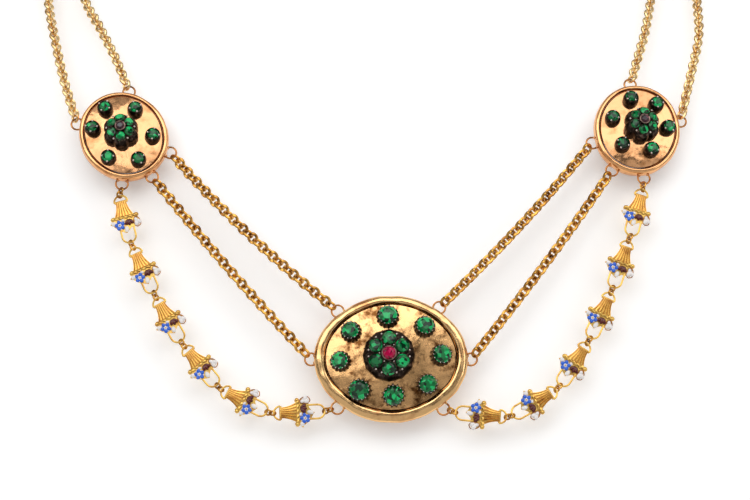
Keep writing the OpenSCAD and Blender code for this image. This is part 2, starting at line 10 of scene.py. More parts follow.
import bmesh
import bpy
from bmesh.types import BMEdge, BMFace, BMVert
from mathutils import Matrix, Vector, noise


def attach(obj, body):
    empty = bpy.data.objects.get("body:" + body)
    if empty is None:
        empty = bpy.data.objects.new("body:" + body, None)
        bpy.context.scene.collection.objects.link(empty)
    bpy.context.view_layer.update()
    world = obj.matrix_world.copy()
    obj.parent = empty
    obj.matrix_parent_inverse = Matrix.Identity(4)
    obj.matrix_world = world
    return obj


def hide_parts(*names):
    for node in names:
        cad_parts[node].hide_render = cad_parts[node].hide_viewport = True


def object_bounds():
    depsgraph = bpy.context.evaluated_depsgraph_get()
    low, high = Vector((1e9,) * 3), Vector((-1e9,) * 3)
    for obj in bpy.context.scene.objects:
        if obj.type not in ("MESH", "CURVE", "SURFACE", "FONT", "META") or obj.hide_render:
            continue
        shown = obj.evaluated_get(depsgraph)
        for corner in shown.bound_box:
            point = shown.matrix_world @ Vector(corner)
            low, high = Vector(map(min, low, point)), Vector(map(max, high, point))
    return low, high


bl_info = {
    "name": "Festoon necklace",
    "version": (1, 0, 0),
    "blender": (4, 5, 0),
    "location": "View3D > Sidebar > Necklace",
    "description": "Gem-set plaques, gold chains and enamelled basket links",
    "category": "Object",
}

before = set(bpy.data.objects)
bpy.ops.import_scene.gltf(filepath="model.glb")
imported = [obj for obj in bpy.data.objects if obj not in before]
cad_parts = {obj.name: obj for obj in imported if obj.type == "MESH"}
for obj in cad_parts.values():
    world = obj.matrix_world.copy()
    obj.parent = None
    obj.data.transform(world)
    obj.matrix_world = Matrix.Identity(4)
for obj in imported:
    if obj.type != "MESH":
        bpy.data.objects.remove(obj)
cad_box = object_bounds()

MM = 0.001

# Plaques in the order center, left, right, with the seats and turns of the solids
CENTER, LEFT, RIGHT = 0, 1, 2
PLAQUES = ("center", "left", "right")
NAPE = Vector((0, 120, 135))
CHEST_LEAN = math.radians(12)
CHEST_CURL = 2.55e-7
CHEST_ROUND = 4.4e-4
SEAT = ((4, 0), (-64.5, 56.4), (67.3, 58))
TILT = (12, 21, 21)
YAW = (0, 2, 7)
LEAN = (0, 29, -14)
LONG = (19.25, 12.5, 12.5)
SHORT = (16.1, 11.2, 11.2)
END_RADIUS = (13.2, 10.5, 10.5)
AXIS = (0, 90, 90)
BAND = (2.3, 1.45, 1.45)
FRAME_DEPTH = 3.2
OUTLINE_STEP = 0.5
EYES = ((128, 56, 180, 0, 232, -53), (141, 51, -42, -84, -125), (109, 23, -155, -113, -69))
EYE_RADIUS = 1.55
EYE_OFFSET = 0.75
EYE_LEVEL = -0.6
SOLDER = 0.36

# Domes of the grounds: radius, height of the top, gap to the band, rings of faces, thickness
DOME = (76, 60, 60)
DOME_TOP = (1.5, 1.4, 1.4)
GROUND_GAP = 0.2
GROUND_RINGS = 22
SHEET = 0.6

# Collets and their grains, with the outline of a fluted cup as growth past its stone and height
COLLET_HEIGHT = 2.6
CLAWS = 15
CLAW_FOOT = 0.38
CLAW_TIP = 0.19
GRAIN = 0.27
GRAIN_LEVEL = COLLET_HEIGHT + 0.02
CUP_ROWS = ((0.42, 0), (0.56, 0.35), (0.6, 0.9), (0.54, 1.6), (0.4, 2.2), (0.24, 2.5), (0.06, 2.6),
            (0.02, 2.42), (-0.3, 2))
GIRDLE_LEVEL = 2.3
SEAT_GAP = 0.08

# Facets of a stone of diameter 1: corners in the row, radius, height, turn
STONE_ROWS = (
    (8, 0.28, 0.25, 0),
    (8, 0.4, 0.185, 22.5),
    (16, 0.5, 0.05, 11.25),
    (16, 0.5, 0, 11.25),
    (8, 0.2, -0.27, 22.5),
    (8, 0.05, -0.36, 0),
)

# Stones around the rosettes: across, up, diameter
CENTER_STONES = (
    (-0.8, 10.65, 4.7),
    (8.6, 8.1, 4.4),
    (12.8, 0.8, 4.5),
    (9.2, -6.8, 4.5),
    (0.6, -9.7, 4.9),
    (-8, -8.3, 5),
    (-12.9, -0.8, 4.2),
    (-10.2, 6.8, 4.3),
)
SIDE_STONE = 2.9
SIDE_STONES = {
    LEFT: ((-0.9, 8.6), (5.85, 4.5), (-6.4, 5.1), (6.4, -4.35), (-6.6, -4.2), (0, -8.45)),
    RIGHT: ((-3.25, 7.55), (3.55, 7.6), (-7.1, 0.8), (7.65, 1.8), (-3.35, -6), (4.4, -5.5)),
}

# Rosettes: across, up, turn of the flower, radius of its ring, stone diameter, lean of its stones
ROSETTES = (
    (-0.5, 0.55, 90, 3.85, 3.45, 8),
    (-0.45, 0.3, 64, 2.6, 2.35, 22),
    (0.6, 0.4, 96, 2.6, 2.35, 22),
)
FLOWER_LEVEL = (4.1, 4.7, 4.7)
HEART_LEVEL = (4.5, 5.5, 5.5)
HEART_STONE = (3.15, 2.1, 2.1)

# Outlines of the mounts, as parts of their radius and height
MOUNT_RADIUS = 13.3 / 2
MOUNT_ROWS = ((1, -0.6), (1, 0.5), (0.985, 1.5), (0.93, 2.1), (0.8, 2.9), (0.74, 3.25), (0.3, 3.3))
RIB_ROWS = ((0.99, 0.4), (0.975, 1.6), (0.92, 2.3), (0.8, 3.1), (0.72, 3.5))
MELON_RADIUS = 9.3 / 2
MELON = ((0.93, -0.6), (0.98, 0), (1, 0.6), (1.01, 1.3), (1, 2), (0.97, 2.7), (0.9, 3.3), (0.82, 3.8),
         (0.74, 4.15), (0.62, 4.4), (0.3, 4.45))

# Lower chains: plaque, its eye, eye of the center plaque, middle of the chain across and up, links
LOWER_CHAINS = (
    (LEFT, -42, 128, (-32.6, 31.8), 33),
    (LEFT, -84, 180, (-36.3, 21.8), 33),
    (RIGHT, -155, 56, (36.5, 33.1), 33),
    (RIGHT, -113, 0, (43.2, 24), 33),
)
CHAIN_NAMES = ("left_inner", "left_outer", "right_inner", "right_outer")
SIDES = ("left", "right")

# Festoons: plaque, its eye, eye of the center plaque, middles of the baskets across and up
FESTOONS = (
    (LEFT, -125, 232,
     ((-65.3, 37.4), (-59.4, 24.2), (-52.8, 10.9), (-44.6, -1), (-32.9, -11.4), (-17.9, -13.8))),
    (RIGHT, -69, -53,
     ((67.4, 37.9), (63.3, 27.2), (58.4, 13.9), (51.4, 0.9), (42.4, -10.2), (28.6, -15))),
)
BASKETS = 6
BASKET_REACH = 12.7
RING_RADIUS = 0.8

# Wires of the solids, which set how links and rings are spaced, and the thicker ones that are drawn
EYE_WIRE = 0.3
RING_WIRE = 0.32
EYE_GAUGE = 0.5
RING_GAUGE = 0.48

# Upper chains, as route points in metres: from the eye of a side plaque to a ring of the clasp
UPPER_ROUTES = (
    (LEFT, 51, -1, 1, (
        (-0.0674, -0.0931, -0.0586), (-0.0724, -0.086, -0.0496), (-0.0777, -0.0772, -0.0408),
        (-0.081, -0.064, -0.028), (-0.079, -0.044, -0.0155), (-0.068, -0.025, -0.0065),
        (-0.049, -0.01, -0.0015), (-0.026, -0.0015, 0.001))),
    (LEFT, 141, -1, -1, (
        (-0.0808, -0.0956, -0.064), (-0.0839, -0.0886, -0.0538), (-0.0873, -0.0777, -0.042),
        (-0.0895, -0.063, -0.03), (-0.086, -0.042, -0.018), (-0.073, -0.0215, -0.01),
        (-0.052, -0.0065, -0.005), (-0.027, 0.001, -0.0024))),
    (RIGHT, 109, 1, 1, (
        (0.0688, -0.0922, -0.0574), (0.0712, -0.0868, -0.0505), (0.0738, -0.0775, -0.0408),
        (0.0765, -0.064, -0.028), (0.075, -0.044, -0.0155), (0.065, -0.025, -0.0065),
        (0.048, -0.01, -0.0015), (0.026, -0.0015, 0.001))),
    (RIGHT, 23, 1, -1, (
        (0.0826, -0.0938, -0.0612), (0.0854, -0.0867, -0.0515), (0.0862, -0.0766, -0.0407),
        (0.087, -0.063, -0.03), (0.0835, -0.042, -0.018), (0.0715, -0.0215, -0.01),
        (0.051, -0.0065, -0.005), (0.027, 0.001, -0.0024))),
)
CLASP_SIZE = (9, 3, 6.2)
CLASP_RING_RADIUS = 1.2
CLASP_RING_WIRE = 0.5
CLASP_RING_OFFSET = 0.7
CLASP_RING_LEVEL = 1.7

# Baskets, with X from the foot to the flowers and Z off the chest
FOOT_LINE = -4.15
FOOT_RADIUS = 1.7
FAN_LENGTH = 3.95
ROPE_STEPS = 42
LOOP_CENTER = 5.1
PLATE = ((0, -3), (1.5, -3.45), (3.1, -2.2), (4.2, -0.3), (3, 1.1), (2.8, 3.2), (1, 3.35), (0, 2.4))
BASKET_FINISHES = ("basket", "blue", "maroon", "white", "wire")
GOLD, BLUE, MAROON, WHITE, WIRE = range(5)

# Golds, all worn: a warm patchy mirror on bands and grounds, a softer yellow shine on links and wire.
# Finish, material, colour, its stain (copper gold where none is given), millimetres of a stain, where it
# starts and is full, millimetres of a scratch, roughness from and to, relief
GOLDS = (
    ("band", "hammered_gold", "bright_gold", None, 7, (0.5, 0.75), 0.35, (0.09, 0.22), 0.3),
    ("ground", "mirror_gold", "ground_gold", "#6E4420", 3, (0.48, 0.64), 0.25, (0.06, 0.18), 0.45),
    ("clear", "clear_mirror_gold", "clear_gold", "#96602F", 5, (0.5, 0.72), 0.5, (0.05, 0.14), 0.25),
    ("rose", "rose_gold", "rose_gold", None, 5, (0.5, 0.8), 0.3, (0.1, 0.25), 0.25),
    ("wire", "copper_wire", "wire_gold", "#7A4522", 1.5, (0.4, 0.7), 0.2, (0.25, 0.45), 0.3),
    ("chain", "chain_gold", "chain_gold", "#7A4414", 3, (0.42, 0.7), 0.2, (0.1, 0.24), 0.2),
    # painted light: this finish is the chain gold made paler, so that the chains over the shoulders look more
    # brightly lit
    ("pale", "pale_chain_gold", "pale_gold", "#C08A44", 3, (0.45, 0.75), 0.2, (0.16, 0.32), 0.2),
    ("basket", "basket_gold", "basket_gold", None, 2, (0.5, 0.8), 0.15, (0.2, 0.4), 0.3),
    ("bezel", "grey_brown_bezel", "bezel", "#5A463C", 1.2, (0.4, 0.7), 0.2, (0.25, 0.45), 0.3),
)

# Stones: finish, material, its bright and deep facets (painted flashes and painted shade inside the stone),
# IOR
PASTES = (
    ("emerald", "emerald_paste", "#18B866", "#012A13", 1.62),
    ("ruby", "ruby_paste", "#C8245C", "#5A0722", 1.62),
    ("garnet", "garnet_stone", "#6A2A44", "#16060C", 1.76),
)
ENAMELS = (("blue", "#2257C4"), ("maroon", "#4A0810"), ("white", "#DDD6D4"))
FINISHES = {}

# Floor and backdrop, in millimetres: how far they reach, the top of the sheet above and behind the neck,
# its gap behind the necklace, and how brightly it glows
FLOOR_REACH = 5000
BACKDROP_REACH = 1500
BACKDROP_TOP = (1500, 1200)
BACKDROP_GAP = 6
BACKDROP_GLOW = 0.2

# Lamps and camera, in metres, watts and millimetres of lens: the lamps' names, places, sizes and energies
LAMP_TARGET = Vector((0, -0.11, -0.1))
LAMPS = (
    ("key", (-0.55, -0.85, 0.5), (0.9, 0.8), 3.6),
    ("fill", (0.75, -0.7, -0.05), (0.2, 0.8), 1.0),
    ("top", (0.3, -0.72, 0.68), (1.2, 0.7), 4.2),
)
CAMERA_PLACE = (0, -0.72, -0.10775)
LENS = 115.2


def linear(code):
    """The linear colour of an sRGB hex code."""
    parts = [int(code[i:i + 2], 16) / 255 for i in (1, 3, 5)]
    return tuple(c / 12.92 if c <= 0.04045 else ((c + 0.055) / 1.055) ** 2.4 for c in parts)


def colour(name, description, code):
    """A colour that the user can change."""
    return bpy.props.FloatVectorProperty(name=name, description=description, default=linear(code),
                                         subtype="COLOR", min=0, max=1)


def length(name, description, default, least, most):
    """A length that the user can change, given in millimetres and kept in metres."""
    return bpy.props.FloatProperty(name=name, description=description, default=default * MM,
                                   unit="LENGTH", min=least * MM, max=most * MM)


class NecklaceColours(bpy.types.PropertyGroup):
    """Colours of the finishes"""

    bright_gold: colour("Bright gold", "Polished gold of the center frame", "#F2C488")
    copper_gold: colour("Copper gold", "Redder gold where the alloy has warmed and tarnished", "#A85A2A")
    rose_gold: colour("Rose gold", "Gold of the side frames", "#EDB27A")
    ground_gold: colour("Ground gold", "Mirror gold behind the stones of the center plaque", "#F3BE82")
    clear_gold: colour("Clear gold", "Cleaner mirror gold behind the stones of the side plaques", "#DDA575")
    wire_gold: colour("Wire gold", "Coppery gold of the wire eyes", "#CF9156")
    chain_gold: colour("Chain gold", "Yellow gold of the links", "#DCA852")
    # painted light: a paler copy of the chain gold, so that the chains over the shoulders look more brightly
    # lit
    pale_gold: colour("Pale gold", "Lighter gold of the chains over the shoulders", "#F3D49C")
    basket_gold: colour("Basket gold", "Deep yellow gold of the baskets", "#E8BE66")
    bezel: colour("Bezel", "Grey brown silver around the stones in the middle", "#A98F84")
    black_silver: colour("Blackened silver", "Silver of the collets, darkened by sulphur", "#281D18")
    bare_silver: colour("Bare silver", "Silver rubbed bright on the tips of the claws", "#D9CCC4")
    emerald: colour("Emerald paste", "Green stones", "#056B36")
    ruby: colour("Ruby paste", "Crimson stone of the center rosette", "#A8093F")
    garnet: colour("Garnet", "Nearly black purple stones of the side rosettes", "#3A1222")
    blue: colour("Blue enamel", "Blue flowers of the baskets", "#2F6DE0")
    maroon: colour("Maroon enamel", "Dark red fans of the baskets", "#5C050C")
    white: colour("White enamel", "White leaves of the baskets", "#F8F5F3")
    floor: colour("Floor", "Pale floor below the necklace", "#C9C7C5")
    backdrop: colour("Backdrop", "Pale sheet behind the necklace", "#FAFAFA")


class NecklaceSizes(bpy.types.PropertyGroup):
    """Sizes of the parts that have no solid of their own"""

    link_radius: length("Link radius", "Radius of a chain link, to the middle of its wire", 1.26, 1, 1.5)
    link_wire: length("Link wire", "Diameter of the wire of a chain link", 0.76, 0.4, 0.9)
    link_roll: bpy.props.FloatProperty(
        name="Link roll", description="Turn of the links away from the chest",
        default=math.radians(40), unit="ROTATION", min=0, max=math.radians(90))
    basket_wire: length("Basket wire", "Diameter of the wire of a basket's loops", 0.52, 0.3, 0.6)
    dent_depth: length("Dent depth", "Depth of the dents in the frames", 0.13, 0, 0.3)
    floor_drop: length("Floor drop", "Height of the necklace's lowest point above the floor", 60, 10, 300)


# Places on the chest and on the plaques, in millimetres

def moved(x=0.0, y=0.0, z=0.0):
    """A shift."""
    return Matrix.Translation((x, y, z))


def turned(degrees, axis="Z"):
    """A turn about an axis."""
    return Matrix.Rotation(math.radians(degrees), 4, axis)


def chest_point(across, up):
    """The point of the chest line at a place across and up."""
    back = math.tan(CHEST_LEAN) * up + CHEST_CURL * up ** 4 + CHEST_ROUND * across ** 2
    return Vector((across, back, up)) - NAPE


def chest_normal(place):
    """The direction that faces off the chest at a place."""
    up = place.z + NAPE.z
    return Vector((2 * CHEST_ROUND * place.x, -1, math.tan(CHEST_LEAN) + 4 * CHEST_CURL * up ** 3))


def plaque_matrix(p):
    """Turns plaque coordinates, with Z off its face, into the necklace's frame."""
    return (Matrix.Translation(chest_point(*SEAT[p])) @ turned(YAW[p]) @ turned(90 - TILT[p], "X")
            @ turned(LEAN[p]))


def oval_arcs(p):
    """The four arcs of a plaque's outline: center, radius, start and sweep, in the oval's own turn."""
    end_reach = LONG[p] - END_RADIUS[p]
    side_gap = SHORT[p] - END_RADIUS[p]
    flank_reach = (end_reach ** 2 - side_gap ** 2) / (2 * side_gap)
    flank_radius = SHORT[p] + flank_reach
    joint = math.atan2(flank_reach, end_reach)
    return (
        (Vector((end_reach, 0, 0)), END_RADIUS[p], -joint, 2 * joint),
        (Vector((0, -flank_reach, 0)), flank_radius, joint, math.pi - 2 * joint),
        (Vector((-end_reach, 0, 0)), END_RADIUS[p], math.pi - joint, 2 * joint),
        (Vector((0, flank_reach, 0)), flank_radius, math.pi + joint, math.pi - 2 * joint),
    )


def edge_point(p, degrees, offset, level):
    """A point beside a plaque's outline, in the direction that the outline faces there."""
    angle = math.radians(degrees - AXIS[p])
    for center, radius, start, sweep in oval_arcs(p):
        if (angle - start) % math.tau <= sweep:
            way = Vector((math.cos(angle), math.sin(angle), 0))
            return turned(AXIS[p]) @ (center + (radius + offset) * way) + Vector((0, 0, level))
    raise ValueError("the outline has no such direction")


def eye_end(p, degrees, pull):
    """The point of an eye's wire that faces the pull of a chain."""
    matrix = plaque_matrix(p)
    hub = edge_point(p, degrees, EYE_OFFSET, EYE_LEVEL)
    way = matrix.inverted() @ pull - hub
    way.z = 0
    return matrix @ (hub + EYE_RADIUS * way.normalized())


# Routes of the chains and festoons, in millimetres

class Route:
    """A line through points, measured along its length."""

    def __init__(self, points):
        self.points = points
        self.marks = [0.0]
        for a, b in zip(points, points[1:]):
            self.marks.append(self.marks[-1] + (b - a).length)
        self.length = self.marks[-1]

    def at(self, s):
        """The point at a length along the line."""
        s = min(max(s, 0.0), self.length)
        for i in range(1, len(self.marks)):
            if s <= self.marks[i] or i == len(self.marks) - 1:
                part = (s - self.marks[i - 1]) / (self.marks[i] - self.marks[i - 1])
                return self.points[i - 1].lerp(self.points[i], part)

    def heading(self, s):
        """The direction of the line at a length along it."""
        return (self.at(s + 0.4) - self.at(s - 0.4)).normalized()


def bow(a, middle, b, steps=40):
    """A line that sags through a middle point."""
    pull = 2 * middle - (a + b) / 2
    return [a * (1 - t) ** 2 + pull * 2 * t * (1 - t) + b * t * t
            for t in (i / steps for i in range(steps + 1))]


def smooth(points, steps=8):
    """A curve through points that keeps its bends even where their spacing changes."""
    line = []
    last = len(points) - 1
    for i in range(last):
        a, b, c, d = points[max(i - 1, 0)], points[i], points[i + 1], points[min(i + 2, last)]
        first = max(math.sqrt((b - a).length), 0.001)
        second = first + math.sqrt((c - b).length)
        third = second + max(math.sqrt((d - c).length), 0.001)
        for k in range(steps):
            t = first + (second - first) * k / steps
            ab = a.lerp(b, t / first)
            bc = b.lerp(c, (t - first) / (second - first))
            cd = c.lerp(d, (t - second) / (third - second))
            line.append(ab.lerp(bc, t / second).lerp(bc.lerp(cd, (t - first) / (third - first)),
                                                     (t - first) / (second - first)))
    return line + [points[last]]


def lower_line(row):
    """The line of a lower chain, from a side plaque's eye to one of the center plaque."""
    plaque, eye, center_eye, (across, up), _links = row
    middle = chest_point(across, up)
    return Route(bow(eye_end(plaque, eye, middle), middle, eye_end(CENTER, center_eye, middle)))


def clasp_ring(side, level):
    """The middle of a clasp ring."""
    return Vector((side * (CLASP_SIZE[0] / 2 + CLASP_RING_OFFSET), CLASP_SIZE[1] / 2,
                   level * CLASP_RING_LEVEL))


def upper_line(row):
    """The line of an upper chain, from a side plaque's eye to a clasp ring."""
    plaque, eye, side, level, points = row
    route = [Vector(v) / MM for v in points]
    ring = clasp_ring(side, level)
    end = ring + CLASP_RING_RADIUS * Vector((side, 0, 0))
    return Route(smooth([eye_end(plaque, eye, route[0])] + route + [end]))


def festoon_line(row):
    """The line of a festoon, through the middles of its baskets."""
    plaque, eye, center_eye, middles = row
    stops = [chest_point(*v) for v in middles]
    return Route(smooth([eye_end(plaque, eye, stops[0])] + stops + [eye_end(CENTER, center_eye, stops[-1])]))


def festoon_stops(line):
    """Where each straight basket starts and stops along a festoon's line."""
    free = (line.length - BASKETS * BASKET_REACH) / (BASKETS + 1)
    spans = []
    for k in range(BASKETS):
        start = free + k * (free + BASKET_REACH)
        spans.append(BASKET_REACH ** 2 / (line.at(start + BASKET_REACH) - line.at(start)).length)
    junction = (line.length - sum(spans)) / (BASKETS + 1)
    starts = [(k + 1) * junction + sum(spans[:k]) for k in range(BASKETS)]
    return [(start, start + span) for start, span in zip(starts, spans)], junction


def aim(place, direction, roll=0.0):
    """A frame at a place: X along the direction, Z off the chest, turned about X by the roll."""
    x = direction.normalized()
    off = chest_normal(place)
    z = (off - x * off.dot(x)).normalized()
    turn = Matrix((x, z.cross(x), z)).transposed().to_4x4()
    return Matrix.Translation(place) @ turn @ Matrix.Rotation(roll, 4, "X")


# Small shapes that repeat

def only(geom, kind):
    """The vertices, edges or faces in an operator's result."""
    return [g for g in geom if isinstance(g, kind)]


def mark(bm, count, index):
    """Gives the faces that came after a count another material."""
    bm.faces.ensure_lookup_table()
    for face in bm.faces[count:]:
        face.material_index = index


def ring_shape(bm, radius, wire, sides=8, steps=24, matrix=Matrix.Identity(4)):
    """A closed ring of round wire, spun about Z."""
    section = bmesh.ops.create_circle(bm, cap_ends=False, segments=sides, radius=wire / 2,
                                      matrix=moved(radius) @ turned(90, "X"))["verts"]
    edges = {e for v in section for e in v.link_edges}
    before = set(bm.verts) - set(section)
    bmesh.ops.spin(bm, geom=section + list(edges), cent=(0, 0, 0), axis=(0, 0, 1), angle=math.tau,
                   steps=steps, use_merge=True)
    bmesh.ops.transform(bm, matrix=matrix, verts=[v for v in bm.verts if v not in before])


def wire_along(bm, points, radius, sides=8, taper=None):
    """A wire with closed ends along a list of points; a taper gives its width at each one."""
    off = Vector((0, 0, 1))
    matrices = []
    for i, place in enumerate(points):
        x = (points[min(i + 1, len(points) - 1)] - points[max(i - 1, 0)]).normalized()
        z = (off - x * off.dot(x)).normalized()
        turn = Matrix((z.cross(x), z, x)).transposed().to_4x4()
        width = radius * (taper[i] if taper else 1)
        matrices.append(Matrix.Translation(place) @ turn @ Matrix.Scale(width, 4))
    verts = bmesh.ops.create_circle(bm, cap_ends=True, segments=sides, radius=1)["verts"]
    face = verts[0].link_faces[0]
    bmesh.ops.transform(bm, matrix=matrices[0], verts=verts)
    for a, b in zip(matrices, matrices[1:]):
        grown = bmesh.ops.extrude_face_region(bm, geom=[face])["geom"]
        bmesh.ops.transform(bm, matrix=b @ a.inverted(), verts=only(grown, BMVert))
        face = only(grown, BMFace)[0]


def grain(bm, matrix, radius, subdivisions=2, index=1):
    """A round grain of metal."""
    count = len(bm.faces)
    bmesh.ops.create_icosphere(bm, subdivisions=subdivisions, radius=radius, matrix=matrix)
    mark(bm, count, index)


def cone(bm, matrix, segments, foot, top, depth):
    """A closed cone, by its radius at the foot and at the top."""
    bmesh.ops.create_cone(bm, cap_ends=True, segments=segments, radius1=foot, radius2=top, depth=depth,
                          matrix=matrix)


def joined(bm, part, matrix):
    """Adds a copy of a small finished mesh at a place."""
    count = len(bm.verts)
    bm.from_mesh(part)
    bm.verts.ensure_lookup_table()
    bmesh.ops.transform(bm, matrix=matrix, verts=bm.verts[count:])


def small_mesh(build, *values):
    """A mesh that a function shapes, to be repeated with joined."""
    bm = bmesh.new()
    build(bm, *values)
    mesh = bpy.data.meshes.new("small")
    bm.to_mesh(mesh)
    bm.free()
    return mesh


def piece(name, bm, matrix, finishes, replaced, smooth_angle=40):
    """Makes a shape an object of the necklace: in metres, riding on the root body, its normals outward."""
    bmesh.ops.transform(bm, matrix=Matrix.Scale(MM, 4) @ matrix, verts=bm.verts)
    bmesh.ops.recalc_face_normals(bm, faces=bm.faces)
    mesh = bpy.data.meshes.new(name)
    bm.to_mesh(mesh)
    bm.free()
    for finish in finishes:
        mesh.materials.append(FINISHES[finish])
    if smooth_angle:
        mesh.shade_smooth()
        mesh.set_sharp_from_angle(angle=math.radians(smooth_angle))
    obj = bpy.data.objects.new(name, mesh)
    bpy.context.scene.collection.objects.link(obj)
    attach(obj, "root")
    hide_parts(replaced)


# Materials

def add(tree, kind, inputs=None, **settings):
    """Adds a node, sets its fields, and sets or links its inputs."""
    made = tree.nodes.new(kind)
    for field, value in settings.items():
        setattr(made, field, value)
    for socket, value in (inputs or {}).items():
        if isinstance(value, bpy.types.NodeSocket):
            tree.links.new(value, made.inputs[socket])
        else:
            made.inputs[socket].default_value = value
    return made


def ramp_stops(ramp, stops):
    """Gives a colour ramp its stops: place and grey or colour."""
    elements = ramp.color_ramp.elements
    while len(elements) > 1:
        elements.remove(elements[-1])
    for i, (place, shade) in enumerate(stops):
        stop = elements[0] if i == 0 else elements.new(place)
        stop.position = place
        stop.color = (*shade, 1) if isinstance(shade, tuple) else (shade, shade, shade, 1)


def shader(name, inputs):
    """A new material with the plain inputs of its shader set: its tree, shader and Object coordinates."""
    material = bpy.data.materials.new(name)
    material.use_nodes = True
    tree = material.node_tree
    bsdf = tree.nodes["Principled BSDF"]
    for socket, value in inputs.items():
        bsdf.inputs[socket].default_value = value
    return material, tree, bsdf, add(tree, "ShaderNodeTexCoord").outputs["Object"]


def per_mm(size):
    """The scale of a noise whose features are a size in millimetres, on coordinates in metres."""
    return 1 / (size * MM)


def gold(name, light, dark, stain_size, stain, grain_size, rough, bump):
    """Worn gold: two shades in soft patches, fine scratches in its gloss, and dents too small to model."""
    material, tree, bsdf, place = shader(name, {"Metallic": 1.0})
    patches = add(tree, "ShaderNodeTexNoise",
                  {"Vector": place, "Scale": per_mm(stain_size), "Detail": 5.0, "Roughness": 0.6})
    stains = add(tree, "ShaderNodeMapRange",
                 {"Value": patches.outputs["Fac"], "From Min": stain[0], "From Max": stain[1]})
    shade = add(tree, "ShaderNodeMix", {0: stains.outputs["Result"], 6: (*light, 1), 7: (*dark, 1)},
                data_type="RGBA")
    tree.links.new(shade.outputs[2], bsdf.inputs["Base Color"])
    scratches = add(tree, "ShaderNodeTexNoise",
                    {"Vector": place, "Scale": per_mm(grain_size), "Detail": 3.0, "Roughness": 0.6})
    gloss = add(tree, "ShaderNodeMapRange", {"Value": scratches.outputs["Fac"], "From Min": 0.3,
                                             "From Max": 0.7, "To Min": rough[0], "To Max": rough[1]})
    tree.links.new(gloss.outputs["Result"], bsdf.inputs["Roughness"])
    relief = add(tree, "ShaderNodeBump",
                 {"Strength": bump, "Distance": 0.05 * MM, "Height": scratches.outputs["Fac"]})
    tree.links.new(relief.outputs["Normal"], bsdf.inputs["Normal"])
    return material


def blackened_silver(silver, rubbed):
    """Sulphided silver: nearly black and satin, with brown patches, and rubbed greyer in places."""
    material, tree, bsdf, place = shader("sulphided_silver", {"Metallic": 0.85, "Roughness": 0.36})
    patches = add(tree, "ShaderNodeTexNoise", {"Vector": place, "Scale": per_mm(0.9), "Detail": 4.0})
    rub = add(tree, "ShaderNodeMapRange",
              {"Value": patches.outputs["Fac"], "From Min": 0.5, "From Max": 0.75})
    shade = add(tree, "ShaderNodeMix", {0: rub.outputs["Result"], 6: (*silver, 1), 7: (*rubbed, 1)},
                data_type="RGBA")
    tree.links.new(shade.outputs[2], bsdf.inputs["Base Color"])
    pits = add(tree, "ShaderNodeTexNoise", {"Vector": place, "Scale": per_mm(0.12), "Detail": 2.0})
    relief = add(tree, "ShaderNodeBump",
                 {"Strength": 0.4, "Distance": 0.03 * MM, "Height": pits.outputs["Fac"]})
    tree.links.new(relief.outputs["Normal"], bsdf.inputs["Normal"])
    return material


def rubbed_silver(silver):
    """Silver worn back to bright metal on the highest points, with fine scratches."""
    material, tree, bsdf, place = shader("rubbed_silver", {"Metallic": 1.0, "Base Color": (*silver, 1)})
    scratches = add(tree, "ShaderNodeTexNoise", {"Vector": place, "Scale": per_mm(0.15), "Detail": 2.0})
    gloss = add(tree, "ShaderNodeMapRange",
                {"Value": scratches.outputs["Fac"], "To Min": 0.18, "To Max": 0.4})
    tree.links.new(gloss.outputs["Result"], bsdf.inputs["Roughness"])
    return material


def paste(name, bright, middle, deep, ior):
    """Foiled lead glass: flashes and shadows of its back facets painted into cells of its colour, polished
    facets and a bright gloss.
    """
    material, tree, bsdf, place = shader(name, {"Roughness": 0.05, "IOR": ior, "Specular IOR Level": 0.3})
    # painted reflection and shade: bright and deep cells of colour stand in for the light and shade of the
    # back facets
    facets = add(tree, "ShaderNodeTexVoronoi", {"Vector": place, "Scale": per_mm(0.95)})
    share = add(tree, "ShaderNodeSeparateColor", {"Color": facets.outputs["Color"]})
    ramp = add(tree, "ShaderNodeValToRGB", {"Fac": share.outputs["Red"]})
    ramp_stops(ramp, ((0.0, deep), (0.3, deep), (0.42, middle), (0.72, middle), (0.85, bright)))
    tree.links.new(ramp.outputs["Color"], bsdf.inputs["Base Color"])
    return material


def enamel(name, glass, cloudy):
    """Opaque vitreous enamel: even colour with a faint cloud, a thin clear gloss and tiny pits."""
    material, tree, bsdf, place = shader(name, {"Roughness": 0.22, "IOR": 1.52, "Coat Weight": 0.15})
    cloud = add(tree, "ShaderNodeTexNoise", {"Vector": place, "Scale": per_mm(0.8), "Detail": 3.0})
    shade = add(tree, "ShaderNodeMix", {0: cloud.outputs["Fac"], 6: (*glass, 1), 7: (*cloudy, 1)},
                data_type="RGBA")
    tree.links.new(shade.outputs[2], bsdf.inputs["Base Color"])
    pits = add(tree, "ShaderNodeTexNoise", {"Vector": place, "Scale": per_mm(0.2), "Detail": 1.0})
    relief = add(tree, "ShaderNodeBump",
                 {"Strength": 0.25, "Distance": 0.02 * MM, "Height": pits.outputs["Fac"]})
    tree.links.new(relief.outputs["Normal"], bsdf.inputs["Normal"])
    return material


def make_finishes(colours):
    """Makes every material of the necklace once."""
    def pick(name):
        return tuple(getattr(colours, name))

    for key, name, light, dark, *wear in GOLDS:
        FINISHES[key] = gold(name, pick(light), linear(dark) if dark else pick("copper_gold"), *wear)
    for key, name, bright, deep, ior in PASTES:
        FINISHES[key] = paste(name, linear(bright), pick(key), linear(deep), ior)
    for key, cloudy in ENAMELS:
        FINISHES[key] = enamel(key + "_enamel", pick(key), linear(cloudy))
    FINISHES["black"] = blackened_silver(pick("black_silver"), linear("#7A675A"))
    FINISHES["silver"] = rubbed_silver(pick("bare_silver"))


# Plaque frames and grounds

